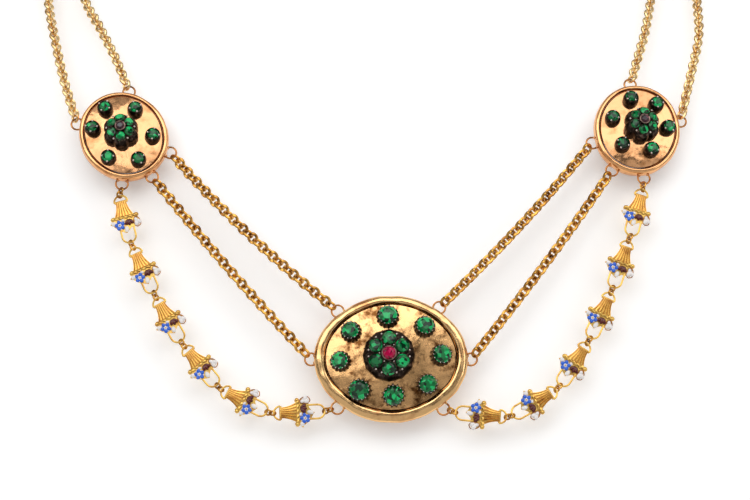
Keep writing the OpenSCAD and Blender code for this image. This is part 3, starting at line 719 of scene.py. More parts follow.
def oval_sweep(bm, p, profile, closed=False):
    """Sweeps a profile of offsets and heights around a plaque's outline, one arc after the other."""
    arcs = oval_arcs(p)
    center, radius, start, _sweep = arcs[0]
    way = Vector((math.cos(start), math.sin(start), 0))
    row = [bm.verts.new(center + (radius + x) * way + Vector((0, 0, z))) for x, z in profile]
    pairs = list(zip(row, row[1:])) + ([(row[-1], row[0])] if closed else [])
    geom = row + [bm.edges.new(pair) for pair in pairs]
    before = set(bm.verts) - set(row)
    for center, radius, _start, sweep in arcs:
        steps = max(4, round(sweep * radius / OUTLINE_STEP))
        geom = bmesh.ops.spin(bm, geom=geom, cent=center, axis=(0, 0, 1), angle=sweep,
                              steps=steps)["geom_last"]
    bmesh.ops.remove_doubles(bm, verts=[v for v in bm.verts if v not in before], dist=0.01)
    made = [v for v in bm.verts if v not in before]
    bmesh.ops.transform(bm, matrix=turned(AXIS[p]), verts=made)
    return made


def dented(bm, verts, depth, size, seed):
    """Moves points in and out by a soft noise, as a hammer and wear leave them."""
    bm.normal_update()
    shift = Vector((seed, 2 * seed, 3 * seed))
    moves = [(v, v.normal * depth * noise.noise(v.co / size + shift)) for v in verts]
    for v, move in moves:
        v.co += move


def widened(verts, p, all_in=False):
    """Moves the inner side of the center band inward, most at its lower side, as the band is uneven."""
    if p != CENTER:
        return
    for v in verts:
        angle = math.atan2(v.co.y, v.co.x)
        edge = LONG[p] * SHORT[p] / math.hypot(SHORT[p] * math.cos(angle), LONG[p] * math.sin(angle))
        part = 1 if all_in else min(max((edge - v.co.xy.length) / BAND[p], 0), 1)
        extra = 0.4 * (1 - math.sin(angle)) + 0.2 * math.cos(angle) ** 2
        v.co.xy *= 1 - part * extra / edge


def band_profile(p):
    """The section of a frame's band: a straight inner wall, a domed brow and a slanted back."""
    brow = FRAME_DEPTH / 2
    band = BAND[p]
    waist = -0.5
    points = [(-0.3, -brow), (-band, -brow), (-band, -1.1)]
    for k in range(15):
        a = math.pi * (1 - k / 14)
        wide = math.copysign(abs(math.cos(a)) ** 0.85, math.cos(a))
        fall = 0.25 * band * (wide + 1) / 2
        points.append(((wide - 1) * band / 2, waist + (brow - waist - fall) * math.sin(a) ** 0.6))
    return points + [(-0.12, -1.0)]


def build_frame(p, sizes):
    """A domed gold band with its wire eyes and the solder that holds them."""
    bm = bmesh.new()
    verts = oval_sweep(bm, p, band_profile(p), closed=True)
    widened(verts, p)
    depth = sizes.dent_depth / MM
    dented(bm, verts, depth * (1.4 if p == CENTER else 0.7), size=3.4, seed=3.1 + p)
    dented(bm, verts, depth * 0.3, size=1.2, seed=7.7 + p)
    for degrees in EYES[p]:
        count = len(bm.faces)
        hub = edge_point(p, degrees, EYE_OFFSET, EYE_LEVEL)
        ring_shape(bm, EYE_RADIUS, EYE_GAUGE, 8, 28, Matrix.Translation(hub))
        mark(bm, count, 1)
        for side in (-1, 1):
            joint = edge_point(p, degrees + side * math.degrees(1.25 / LONG[p]), -0.02, EYE_LEVEL)
            grain(bm, Matrix.Translation(joint), SOLDER, 2, 0)
    node = PLAQUES[p] + "_frame"
    finish, slot = ("band", "polished_gold") if p == CENTER else ("rose", "rose_gold")
    piece(node + "_metal", bm, plaque_matrix(p), (finish, "wire"), node)


def dome_height(p, flat):
    """Height of a ground's face at a distance from the middle of its plaque."""
    return DOME_TOP[p] - DOME[p] + math.sqrt(DOME[p] ** 2 - flat ** 2)


def build_ground(p):
    """A domed mirror sheet, finely dented, with a thin rim turned up, and behind its edge a dark ring in the
    blackened silver finish that is painted shade for the gap under the band.
    """
    bm = bmesh.new()
    inset = BAND[p] + GROUND_GAP
    oval_sweep(bm, p, [(-inset - 0.12, 0)])
    loop = bm.edges[:]
    for k in range(GROUND_RINGS, 1, -1):
        grown = bmesh.ops.extrude_edge_only(bm, edges=loop)["geom"]
        fresh = set(only(grown, BMVert))
        bmesh.ops.scale(bm, vec=(1 - 1 / k, 1 - 1 / k, 1), verts=list(fresh))
        loop = [e for e in only(grown, BMEdge) if fresh.issuperset(e.verts)]
    bmesh.ops.edgeloop_fill(bm, edges=loop)
    for v in bm.verts:
        v.co.z = dome_height(p, v.co.xy.length)
    dented(bm, bm.verts, 0.08, size=3.4, seed=11.3 + p)
    dented(bm, bm.verts, 0.026, size=0.9, seed=5.9 + p)
    bmesh.ops.solidify(bm, geom=bm.faces[:] + bm.edges[:] + bm.verts[:], thickness=SHEET)
    top = dome_height(p, 16) + (0.45 if p == CENTER else 0.15)
    rim = ((-0.05, -0.5), (-0.26, -0.5), (-0.24, top), (-0.15, top + 0.05), (-0.07, top))
    # painted shade: a dark ring under the gap between band and ground, in the blackened silver finish, stands
    # in for the shade in that gap
    painted_shade_ring = ((0.35, -1.1), (-0.6, -1.1), (-0.6, -0.9), (0.35, -0.9))
    for index, section in enumerate((rim, painted_shade_ring), 1):
        count = len(bm.faces)
        oval_sweep(bm, p, [(x - inset, z) for x, z in section], closed=True)
        mark(bm, count, index)
    widened(bm.verts, p, True)
    node = PLAQUES[p] + "_ground"
    sheet = "ground" if p == CENTER else "clear"
    piece(node + "_sheet", bm, plaque_matrix(p), (sheet, "chain", "black"), node, 50)


# Stones

def cut_stone(bm, d):
    """A round stone with a table, star, main and girdle facets, and a small culet."""
    for count, radius, height, turn in STONE_ROWS:
        bmesh.ops.create_circle(bm, segments=count, radius=radius * d,
                                matrix=moved(z=height * d) @ turned(turn))
    bmesh.ops.delete(bm, geom=bm.edges[:], context="EDGES_FACES")
    bmesh.ops.convex_hull(bm, input=bm.verts[:])
    bmesh.ops.dissolve_limit(bm, angle_limit=math.radians(1), verts=bm.verts[:], edges=bm.edges[:])


def dome_seat(p, across, up):
    """The frame of a collet's foot on the dome of a ground, so that its top lies at a place."""
    lean = math.asin(math.hypot(across, up) / (DOME[p] + COLLET_HEIGHT))
    return (moved(z=DOME_TOP[p] - DOME[p]) @ Matrix.Rotation(math.atan2(up, across), 4, "Z")
            @ Matrix.Rotation(lean, 4, "Y") @ moved(z=DOME[p] + SEAT_GAP))


def rosette_seat(p):
    """The frame of a rosette on its ground, turned as its flower is."""
    across, up, turn = ROSETTES[p][:3]
    return moved(across, up, DOME_TOP[p]) @ turned(turn)


def flower_seat(p, k):
    """The frame of a rosette stone's girdle."""
    _across, _up, _turn, radius, _d, lean = ROSETTES[p]
    return rosette_seat(p) @ turned(60 * k) @ moved(radius, 0, FLOWER_LEVEL[p]) @ turned(lean, "Y")


def heart_seat(p):
    """The frame of the girdle of the stone in the middle of a rosette."""
    return moved(ROSETTES[p][0], ROSETTES[p][1], DOME_TOP[p] + HEART_LEVEL[p])


def build_stones(p):
    """All green stones of a plaque, and the stone in the middle of its rosette."""
    up = moved(z=GIRDLE_LEVEL)
    turns = random.Random(40 + p)

    def free_turn():
        return Matrix.Rotation(turns.uniform(0, math.tau), 4, "Z")

    def stones(node, d, seats, finish="emerald"):
        bm = bmesh.new()
        stone = small_mesh(cut_stone, d)
        for seat in seats:
            joined(bm, stone, seat)
        piece(node + "_cut", bm, plaque_matrix(p), (finish,), node, 0)

    name = PLAQUES[p]
    if p == CENTER:
        for i, (across, height, d) in enumerate(CENTER_STONES, 1):
            stones(f"center_stone_{i}", d, [dome_seat(p, across, height) @ up @ free_turn()])
    else:
        stones(name + "_stones", SIDE_STONE, [dome_seat(p, *v) @ up @ free_turn() for v in SIDE_STONES[p]])
    stones(name + "_rosette_stones", ROSETTES[p][4], [flower_seat(p, k) @ free_turn() for k in range(6)])
    if p == CENTER:
        stones("center_ruby", HEART_STONE[p], [heart_seat(p)], "ruby")
    else:
        stones(name + "_garnet", HEART_STONE[p], [heart_seat(p)], "garnet")


# Collets and rosettes

def toothed_claw(bm):
    """One claw of a sawtooth collet, one unit high: wide at its foot, leaning in, with a round tip."""
    verts = bmesh.ops.create_cube(bm, size=1)["verts"]
    for v in verts:
        top = v.co.z > 0
        v.co.x = v.co.x * (0.42 if top else 0.62) + (-0.32 if top else 0)
        v.co.y *= 0.36 if top else 0.55
        v.co.z = 1.0 if top else 0.0
    bmesh.ops.bevel(bm, geom=bm.edges[:], offset=0.09, segments=2, profile=0.5, affect="EDGES", material=-1)


def hollow_cup(bm, d):
    """The cup inside a sawtooth collet, hollow at its top."""
    height = COLLET_HEIGHT - 0.25
    cone(bm, moved(z=height / 2), 30, d / 2 + 0.3, d / 2 + 0.12, height)
    top = max(bm.faces, key=lambda f: f.calc_center_median().z)
    bmesh.ops.inset_region(bm, faces=[top], thickness=0.14)
    bmesh.ops.translate(bm, vec=(0, 0, -0.9), verts=top.verts[:])


def build_center_collets():
    """Eight sawtooth collets: blackened claws around a cup, each claw's tip rubbed bright."""
    bm = bmesh.new()
    claw = small_mesh(toothed_claw)
    for across, up, d in CENTER_STONES:
        seat = dome_seat(CENTER, across, up)
        joined(bm, small_mesh(hollow_cup, d), seat)
        for k in range(CLAWS):
            turn = seat @ turned(360 * (k + 0.5) / CLAWS)
            joined(bm, claw, turn @ moved(d / 2 + CLAW_FOOT)
                   @ Matrix.Diagonal((1, 1.05, COLLET_HEIGHT + 0.08, 1)))
            grain(bm, turn @ moved(d / 2 - 0.02, 0, GRAIN_LEVEL), CLAW_TIP, 1)
    piece("center_collet_claws", bm, plaque_matrix(CENTER), ("black", "silver"),
          "center_collets")


def fluted_cup(bm, d):
    """A round cup: swollen wall with upright flutes and an edge turned in over its stone."""
    ring = bmesh.ops.create_circle(bm, cap_ends=False, segments=40, radius=1)["verts"]
    edges = list({e for v in ring for e in v.link_edges})
    for i, (grow, height) in enumerate(CUP_ROWS):
        for k, v in enumerate(ring):
            flute = 0.035 if k % 2 and 0 < i < 6 else 0
            v.co = v.co.xy.normalized().to_3d() * (d / 2 + grow - flute) + Vector((0, 0, height))
        if i < len(CUP_ROWS) - 1:
            grown = bmesh.ops.extrude_edge_only(bm, edges=edges)["geom"]
            fresh = only(grown, BMVert)
            edges = [e for e in only(grown, BMEdge) if e.verts[0] in fresh and e.verts[1] in fresh]
            ring = sorted(fresh, key=lambda v: math.atan2(v.co.y, v.co.x))
    bmesh.ops.holes_fill(bm, edges=[e for e in bm.edges if e.is_boundary], sides=0)


def build_side_collets(p):
    """Six fluted cups, each with four bright grains pushed over its stone."""
    bm = bmesh.new()
    cup = small_mesh(fluted_cup, SIDE_STONE)
    turns = random.Random(70 + p)
    for across, up in SIDE_STONES[p]:
        seat = dome_seat(p, across, up) @ Matrix.Rotation(turns.uniform(0, math.tau), 4, "Z")
        joined(bm, cup, seat)
        for k in range(4):
            grain(bm, seat @ turned(90 * k) @ moved(SIDE_STONE / 2 + 0.02, 0, GRAIN_LEVEL), GRAIN)
    node = PLAQUES[p] + "_collets"
    piece(node + "_cups", bm, plaque_matrix(p), ("black", "silver"), node, 50)


def lathe(bm, rows, segments, shape):
    """A closed turned form through rows of radius and height; the shape changes the radius by the angle."""
    ring = bmesh.ops.create_circle(bm, cap_ends=False, segments=segments, radius=1)["verts"]
    angles = [math.atan2(v.co.y, v.co.x) for v in ring]
    edges = list({e for v in ring for e in v.link_edges})
    first = list(edges)
    for i, (radius, height) in enumerate(rows):
        if i:
            grown = bmesh.ops.extrude_edge_only(bm, edges=edges)["geom"]
            fresh = set(only(grown, BMVert))
            edges = [e for e in only(grown, BMEdge) if fresh.issuperset(e.verts)]
            ring = []
            for a in angles:
                near = Vector((math.cos(a), math.sin(a)))
                ring.append(max(fresh, key=lambda v: v.co.xy.normalized().dot(near)))
        for a, v in zip(angles, ring):
            r = radius * shape(a, height)
            v.co = Vector((r * math.cos(a), r * math.sin(a), height))
    bmesh.ops.edgeloop_fill(bm, edges=first)
    bmesh.ops.edgeloop_fill(bm, edges=edges)


def collar(bm, d, height, matrix, wall=0.16, index=0):
    """A thin bezel around a stone's girdle."""
    count = len(bm.faces)
    ring_shape(bm, d / 2 + wall / 2, wall * 1.3, 6, 24, matrix @ moved(z=height))
    mark(bm, count, index)


def heart_setting(bm, p, segments, foot, depth, drop, height, wall):
    """The cup and the bezel of the stone in the middle of a rosette."""
    radius = HEART_STONE[p] / 2
    cone(bm, heart_seat(p) @ moved(z=-drop), segments, radius + foot, radius + 0.05, depth)
    collar(bm, HEART_STONE[p], height, heart_seat(p), wall, 2)


def build_center_rosette():
    """The dark ribbed mount of the center rosette: twelve sides, six stone cups, claws, ruby bezel."""
    bm = bmesh.new()
    _across, _up, _turn, radius, d, _lean = ROSETTES[CENTER]
    level = FLOWER_LEVEL[CENTER]
    facet = math.tau / 12

    def ribbed(a, _height):
        return math.cos(facet / 2) / math.cos(((a % facet) / facet - 0.5) * facet)

    seat = rosette_seat(CENTER)
    joined(bm, small_mesh(lathe, [(MOUNT_RADIUS * r, h) for r, h in MOUNT_ROWS], 72, ribbed), seat)
    for k in range(12):
        rib = seat @ turned(30 * (k + 0.5))
        path = [rib @ Vector((MOUNT_RADIUS * r, 0, h)) for r, h in RIB_ROWS]
        wire_along(bm, path, 0.09, 6, (0.8, 1, 1, 1, 0.8))
    for k in range(6):
        flower = flower_seat(CENTER, k)
        collar(bm, d, 0.02, flower)
        cone(bm, flower @ moved(z=-0.9), 24, d / 2 - 0.3, d / 2 + 0.05, 1.7)
        for side in (-1, 1):
            grain(bm, seat @ turned(60 * k + side * 21) @ moved(radius + 1.32, 0, level - 0.02), GRAIN)
        grain(bm, seat @ turned(60 * k + 30) @ moved(radius * 0.62, 0, 4.35), 0.2)
    heart_setting(bm, CENTER, 30, 0.2, 1.6, 0.85, 0.08, 0.26)
    piece("center_rosette_mount", bm, plaque_matrix(CENTER), ("black", "silver", "bezel"),
          "center_rosette", 35)


def build_side_rosette(p):
    """The melon-lobed dark mount of a side rosette, with fluted lobes, silver grains and a garnet bezel."""
    bm = bmesh.new()
    _across, _up, _turn, radius, d, _lean = ROSETTES[p]

    def lobed(a, height):
        groove = (0.19 if height > 0 else 0.1) * (1 - abs(math.cos(3 * a)) ** 0.7)
        flute = 0.012 * math.cos(30 * a)
        return 1 - groove - flute

    seat = rosette_seat(p)
    joined(bm, small_mesh(lathe, [(MELON_RADIUS * r, h) for r, h in MELON], 120, lobed), seat)
    for k in range(6):
        flower = flower_seat(p, k)
        cone(bm, flower @ moved(z=-0.75), 24, d / 2 - 0.2, d / 2 + 0.06, 1.4)
        collar(bm, d, 0.02, flower, 0.12)
        grain(bm, seat @ turned(60 * k + 30) @ moved(radius + 0.95, 0, FLOWER_LEVEL[p] - 0.28), GRAIN)
    heart_setting(bm, p, 24, 0.3, 1.5, 0.8, 0.1, 0.3)
    node = PLAQUES[p] + "_rosette"
    piece(node + "_mount", bm, plaque_matrix(p), ("black", "silver", "bezel"), node)


# Chains and rings

def build_chain(name, line, end_wire, sizes, finish, count=None):
    """A chain of round links between two rings, each turned a quarter from the last."""
    radius, wire = sizes.link_radius / MM, sizes.link_wire / MM
    reach = 2 * radius - wire
    if count is None:
        count = 2 * round((line.length / (reach - 0.16) + 1) / 2) - 1
    gap = (count * reach - (EYE_WIRE + end_wire) / 2 - line.length) / (count + 1)
    first = radius - (EYE_WIRE + wire) / 2 - gap
    bm = bmesh.new()
    link = small_mesh(ring_shape, radius, wire, 6, 14)
    for i in range(count):
        s = first + i * (reach - gap)
        roll = sizes.link_roll - (0 if i % 2 else math.pi / 2)
        joined(bm, link, aim(line.at(s), line.heading(s), roll))
    piece(name + "_links", bm, Matrix.Identity(4), (finish,), name)


def build_festoon_rings(index):
    """Fourteen jump rings: a pair at each end of every basket."""
    line = festoon_line(FESTOONS[index])
    stops, junction = festoon_stops(line)
    gap = (4 * RING_RADIUS - 2 * RING_WIRE - EYE_WIRE - junction) / 3
    first = RING_RADIUS - (EYE_WIRE + RING_WIRE) / 2 - gap
    second = first + 2 * RING_RADIUS - RING_WIRE - gap
    starts = [0] + [stop for _start, stop in stops]
    ends = [start for start, _stop in stops] + [line.length]
    bm = bmesh.new()
    ring = small_mesh(ring_shape, RING_RADIUS, RING_GAUGE, 8, 20)
    for a, b in zip(starts, ends):
        place, way = line.at(a), (line.at(b) - line.at(a)).normalized()
        joined(bm, ring, aim(place + way * first, way, math.radians(45)))
        joined(bm, ring, aim(place + way * second, way, math.radians(-45)))
    node = SIDES[index] + "_festoon_rings"
    piece(node + "_wire", bm, Matrix.Identity(4), ("chain",), node)


# Baskets

def fan_body(bm):
    """The ribbed fan: flat ribs with six dark grooves between them, narrow at the foot."""
    def half(t):
        return 1.35 + 1.15 * t * t

    def off_groove(s):
        return abs(((s + 1) * 3) % 1 - 0.5)

    bmesh.ops.create_grid(bm, x_segments=8, y_segments=30, size=1)
    for v in bm.verts:
        t, s = (v.co.x + 1) / 2, v.co.y
        groove = 0.34 * max(0, 1 - off_groove(s) / 0.2)
        crown = 0.3 * (1 - s * s) * (0.4 + 0.6 * t)
        v.co = Vector((FOOT_LINE + FAN_LENGTH * t, half(t) * s, 0.52 + crown - groove))
    for face in bm.faces:
        middle = sum(v.co.y / half((v.co.x - FOOT_LINE) / FAN_LENGTH) for v in face.verts) / 4
        face.material_index = WIRE if off_groove(middle) < 0.13 else GOLD
    bmesh.ops.solidify(bm, geom=bm.faces[:] + bm.edges[:] + bm.verts[:], thickness=0.5)


def rope_rim(bm):
    """A thick rope of two twisted wires with a round knob at each end."""
    section = bmesh.ops.create_circle(bm, cap_ends=True, segments=12, radius=0.56,
                                      matrix=turned(90, "X"))["verts"]
    for v in section:
        v.co *= 1 + 0.2 * math.cos(2 * math.atan2(v.co.z, v.co.x))
        v.co.y = -3
    face = section[0].link_faces[0]
    for _step in range(ROPE_STEPS):
        grown = bmesh.ops.extrude_face_region(bm, geom=[face])["geom"]
        bmesh.ops.transform(bm, matrix=moved(y=6 / ROPE_STEPS) @ turned(900 / ROPE_STEPS, "Y"),
                            verts=only(grown, BMVert))
        bmesh.ops.delete(bm, geom=[face], context="FACES_ONLY")
        face = only(grown, BMFace)[0]
    for side in (-1, 1):
        bmesh.ops.create_uvsphere(bm, u_segments=14, v_segments=9, radius=0.6, matrix=moved(y=side * 3.05))


def petal(bm, place, turn, long, wide, high, index, tilt=0.0):
    """A swollen enamel cell: an oval cushion with its own finish."""
    count = len(bm.faces)
    matrix = moved(*place) @ turned(turn) @ turned(-tilt, "Y") @ Matrix.Diagonal((long, wide, high, 1))
    bmesh.ops.create_uvsphere(bm, u_segments=16, v_segments=9, radius=1, matrix=matrix)
    mark(bm, count, index)


def around(place, turn, distance):
    """A place at a distance from another, in a direction on the basket's face."""
    return Vector(place) + turned(turn) @ Vector((distance, 0, 0))


def enamel_spray(bm, start):
    """The bouquet over the rim: blue flower, dark red fan, white heart and white petals on a gold plate."""
    face = bm.faces.new([bm.verts.new((x, y, -0.28)) for x, y in PLATE])
    grown = bmesh.ops.extrude_face_region(bm, geom=[face])["geom"]
    bmesh.ops.translate(bm, vec=(0, 0, 0.5), verts=only(grown, BMVert))
    flower = Vector((1.95, -1.6, 0.36))
    petal(bm, flower - Vector((0, 0, 0.16)), 20, 1.22, 1.12, 0.34, WHITE)
    for turn in (start + 72 * k for k in range(5)):
        petal(bm, around(flower, turn, 0.78), turn, 0.6, 0.52, 0.3, BLUE, 8)
    petal(bm, flower + Vector((0, 0, 0.16)), 0, 0.2, 0.2, 0.22, GOLD)
    fan = (0.75, 0.85, 0.34)
    for turn in (-36, 0, 36):
        petal(bm, around(fan, turn, 0.9), turn, 0.86, 0.46, 0.36, MAROON, 4)
    for turn in (-19, 19):
        petal(bm, around(fan, turn, 1.0), turn, 0.72, 0.06, 0.4, WIRE, 4)
    heart = (1.65, 2.8, 0.34)
    for turn in (-10, 54):
        petal(bm, around(heart, turn, 0.66), turn, 0.8, 0.56, 0.32, WHITE, 4)
    petal(bm, around(heart, 200, 0.25), 20, 0.66, 0.46, 0.28, WHITE)
    rim = []
    for angle in (math.tau * (k % 20) / 20 for k in range(22)):
        reach = 1.2 + 0.16 * math.cos(2 * (angle - 0.35)) - 0.2 * math.exp(-((angle - 0.35) / 0.35) ** 2)
        rim.append(Vector((2.05 + reach * math.cos(angle), 2.92 + 0.78 * reach * math.sin(angle), 0.36)))
    count = len(bm.faces)
    wire_along(bm, rim, 0.14, 5)
    mark(bm, count, WIRE)
    for place, turn, long, out in (((1.2, -3.1, 0.3), 100, 0.7, 280), ((3.35, -0.1, 0.3), -10, 0.9, -10)):
        petal(bm, place, turn, long, 0.58, 0.34, WHITE, 6)
        tip = around(place, out, long * 0.85)
        petal(bm, (tip.x, tip.y, 0.36), turn, 0.24, 0.22, 0.2, GOLD)
    petal(bm, (0.85, -0.55, 0.3), 60, 0.5, 0.34, 0.28, WHITE)


def arc_points(center, radius, start, stop, steps):
    """Points of an arc on the basket's plane, by degrees."""
    return [Vector((center + radius * math.cos(math.radians(a)), radius * math.sin(math.radians(a)), 0))
            for a in (start + (stop - start) * i / steps for i in range(steps + 1))]


def build_basket(index, k, sizes):
    """One basket link: foot loop, ribbed fan, rope rim, enamel spray and long wire loop."""
    draws = random.Random(100 * index + k)
    bm = bmesh.new()
    fan_body(bm)
    rope_rim(bm)
    wire = sizes.basket_wire / MM / 2
    wire_along(bm, arc_points(FOOT_LINE, FOOT_RADIUS, 90, 270, 18), wire)
    wire_along(bm, [Vector((FOOT_LINE, y, 0)) for y in (-FOOT_RADIUS, 0, FOOT_RADIUS)], 0.34, 10)
    reach = BASKET_REACH + FOOT_LINE - FOOT_RADIUS - LOOP_CENTER
    ends = [Vector((0.2, side * reach, 0)) for side in (-1, 1)]
    wire_along(bm, ends[:1] + arc_points(LOOP_CENTER, reach, -90, 90, 18) + ends[1:], wire)
    for side in (-1, 1):
        petal(bm, (0.35, side * reach, 0.1), 0, 0.4, 0.32, 0.4, GOLD)
    enamel_spray(bm, draws.uniform(0, 50))
    line = festoon_line(FESTOONS[index])
    start, stop = festoon_stops(line)[0][k]
    foot, tip = line.at(start), line.at(stop)
    place = foot + (tip - foot).normalized() * (FOOT_RADIUS - FOOT_LINE)
    node = f"{SIDES[index]}_basket_{k + 1}"
    piece(node + "_enamelled", bm, aim(place, tip - foot), BASKET_FINISHES, node, 42)


# Clasp

def build_clasp():
    """A small box clasp with softened edges, hidden behind the neck, and its four rings."""
    bm = bmesh.new()
    bmesh.ops.create_cube(bm, size=1, matrix=moved(y=CLASP_SIZE[1] / 2) @ Matrix.Diagonal((*CLASP_SIZE, 1)))
    bmesh.ops.bevel(bm, geom=bm.edges[:], offset=0.5, segments=3, profile=0.5, affect="EDGES", material=-1)
    for side in (-1, 1):
        for level in (-1, 1):
            ring_shape(bm, CLASP_RING_RADIUS, CLASP_RING_WIRE, 8, 24,
                       Matrix.Translation(clasp_ring(side, level)) @ turned(90, "X"))
    piece("clasp_box", bm, Matrix.Identity(4), ("chain",), "clasp")


# Stage

def board(name, paint, glow):
    """Matte painted board, which glows a little if asked, and is clear where it is seen from its back."""
    material, tree, bsdf, _place = shader(name, {"Base Color": (*paint, 1), "Roughness": 0.85,
                                                 "Emission Color": (*paint, 1), "Emission Strength": glow})
    backfacing = add(tree, "ShaderNodeNewGeometry").outputs["Backfacing"]
    clear = add(tree, "ShaderNodeBsdfTransparent").outputs["BSDF"]
    sheet = add(tree, "ShaderNodeMixShader", {0: backfacing, 1: bsdf.outputs["BSDF"], 2: clear})
    tree.links.new(sheet.outputs["Shader"], tree.nodes["Material Output"].inputs["Surface"])
    return material


def stage_sheet(name, rows, material):
    """A sheet of the stage, given as rows of points from its top or far edge on, facing the camera or up."""
    bm = bmesh.new()
    grid = [[bm.verts.new(Vector(point) * MM) for point in row] for row in rows]
    for upper, lower in zip(grid, grid[1:]):
        for a, b, c, d in zip(upper, upper[1:], lower[1:], lower):
            bm.faces.new((a, d, c, b))
    mesh = bpy.data.meshes.new(name)
    bm.to_mesh(mesh)
    bm.free()
    mesh.materials.append(material)
    mesh.shade_smooth()
    obj = bpy.data.objects.new(name, mesh)
    bpy.context.scene.collection.objects.link(obj)


def build_backdrop(colours, sizes, low):
    """A pale floor, and a paler sheet that stands on it behind the necklace and leans back at the top."""
    level = low / MM - sizes.floor_drop / MM
    ends = (-FLOOR_REACH, FLOOR_REACH)
    stage_sheet("floor", [[(x, -y, level) for x in ends] for y in ends],
                board("floor_board", colours.floor, 0))
    slope = math.tan(CHEST_LEAN)
    line = [BACKDROP_TOP]
    for up in range(156, -36, -6):
        behind = BACKDROP_GAP + 0.4 * max(0, up - 100)
        line.append((slope * up + CHEST_CURL * max(up, 0) ** 4 - NAPE.y + behind, up - NAPE.z))
    y, z = line[-1]
    line.append((y - slope * (z - level), level))
    across = [-BACKDROP_REACH] + [20 * k for k in range(-14, 15)] + [BACKDROP_REACH]
    rows = [[(x, y + CHEST_ROUND * min(abs(x), 280) ** 2, z) for x in across] for y, z in line]
    stage_sheet("backdrop", rows, board("white_board", colours.backdrop, BACKDROP_GLOW))


def area_light(name, place, size, energy):
    """A soft rectangular lamp that faces the middle of the necklace."""
    data = bpy.data.lights.new(name, "AREA")
    data.shape = "RECTANGLE"
    data.size, data.size_y = size
    data.energy = energy
    obj = bpy.data.objects.new(name, data)
    obj.location = place
    obj.rotation_euler = (LAMP_TARGET - Vector(place)).to_track_quat("-Z", "Y").to_euler()
    bpy.context.scene.collection.objects.link(obj)


def soft_world():
    """Surroundings for the metal to mirror: bright above, dim below, and in soft panels."""
    world = bpy.data.worlds.new("studio")
    bpy.context.scene.world = world
    world.use_nodes = True
    tree = world.node_tree
    place = add(tree, "ShaderNodeTexCoord").outputs["Generated"]
    parts = add(tree, "ShaderNodeSeparateXYZ", {"Vector": place})
    height = add(tree, "ShaderNodeMapRange", {"Value": parts.outputs["Z"], "From Min": -1.0, "From Max": 1.0})
    ramp = add(tree, "ShaderNodeValToRGB", {"Fac": height.outputs["Result"]})
    ramp_stops(ramp, ((0.0, 0.1), (0.4, 0.16), (0.5, 0.4), (0.58, 1.0), (1.0, 0.9)))
    patches = add(tree, "ShaderNodeTexNoise", {"Vector": place, "Scale": 4.5, "Detail": 1.0})
    panels = add(tree, "ShaderNodeMapRange", {"Value": patches.outputs["Fac"], "From Min": 0.42,
                                              "From Max": 0.56, "To Min": 0.15, "To Max": 1.5})
    light = add(tree, "ShaderNodeMath", {0: panels.outputs["Result"], 1: 0.52}, operation="MULTIPLY")
    background = tree.nodes["Background"]
    tree.links.new(ramp.outputs["Color"], background.inputs["Color"])
    tree.links.new(light.outputs["Value"], background.inputs["Strength"])


def set_camera():
    """A long lens straight in front of the necklace."""
    data = bpy.data.cameras.new("camera")
    data.lens = LENS
    data.sensor_width = 36
    data.clip_end = 20
    obj = bpy.data.objects.new("camera", data)
    obj.location = CAMERA_PLACE
    obj.rotation_euler = (math.pi / 2, 0, 0)
    bpy.context.scene.collection.objects.link(obj)
    bpy.context.scene.camera = obj


def set_tones():
    """A plain view transform, so that white stays white."""
    view = bpy.context.scene.view_settings
    view.view_transform = "Standard"
    view.look = "None"
    view.exposure = 0
    view.gamma = 1


# Operators

def prepared(context):
    """Makes the finishes before the first piece, and gives the sizes."""
    if not FINISHES:
        make_finishes(context.scene.necklace_colours)
    return context.scene.necklace_sizes


class NECKLACE_OT_frames(bpy.types.Operator):
    """Builds the gold bands of the three plaques"""

    bl_idname = "necklace.frames"
    bl_label = "Frames"
    bl_options = {"REGISTER", "UNDO"}

    def execute(self, context):
        sizes = prepared(context)
        for p in (CENTER, LEFT, RIGHT):
            build_frame(p, sizes)
        return {"FINISHED"}


class NECKLACE_OT_grounds(bpy.types.Operator):
    """Builds the domed mirror sheets of the plaques"""

    bl_idname = "necklace.grounds"
    bl_label = "Grounds"
    bl_options = {"REGISTER", "UNDO"}

    def execute(self, context):
        prepared(context)
        for p in (CENTER, LEFT, RIGHT):
            build_ground(p)
        return {"FINISHED"}


class NECKLACE_OT_stones(bpy.types.Operator):
    """Builds the cut stones of the plaques"""

    bl_idname = "necklace.stones"
    bl_label = "Stones"
    bl_options = {"REGISTER", "UNDO"}

    def execute(self, context):
        prepared(context)
        for p in (CENTER, LEFT, RIGHT):
            build_stones(p)
        return {"FINISHED"}


class NECKLACE_OT_collets(bpy.types.Operator):
    """Builds the blackened collets around the outer stones"""

    bl_idname = "necklace.collets"
    bl_label = "Collets"
    bl_options = {"REGISTER", "UNDO"}

    def execute(self, context):
        prepared(context)
        build_center_collets()
        for p in (LEFT, RIGHT):
            build_side_collets(p)
        return {"FINISHED"}


class NECKLACE_OT_rosettes(bpy.types.Operator):
    """Builds the raised mounts of the three rosettes"""

    bl_idname = "necklace.rosettes"
    bl_label = "Rosettes"
    bl_options = {"REGISTER", "UNDO"}

    def execute(self, context):
        prepared(context)
        build_center_rosette()
        for p in (LEFT, RIGHT):
            build_side_rosette(p)
        return {"FINISHED"}


class NECKLACE_OT_chains(bpy.types.Operator):
    """Builds the lower and upper chains"""

    bl_idname = "necklace.chains"
    bl_label = "Chains"
    bl_options = {"REGISTER", "UNDO"}

    def execute(self, context):
        sizes = prepared(context)
        for name, row in zip(CHAIN_NAMES, LOWER_CHAINS):
            build_chain("lower_chain_" + name, lower_line(row), EYE_WIRE, sizes, "chain", row[4])
        for name, row in zip(CHAIN_NAMES, UPPER_ROUTES):
            # the upper chains take the paler copy of the chain gold, as painted light
            build_chain("upper_chain_" + name, upper_line(row), CLASP_RING_WIRE, sizes, "pale")
        return {"FINISHED"}


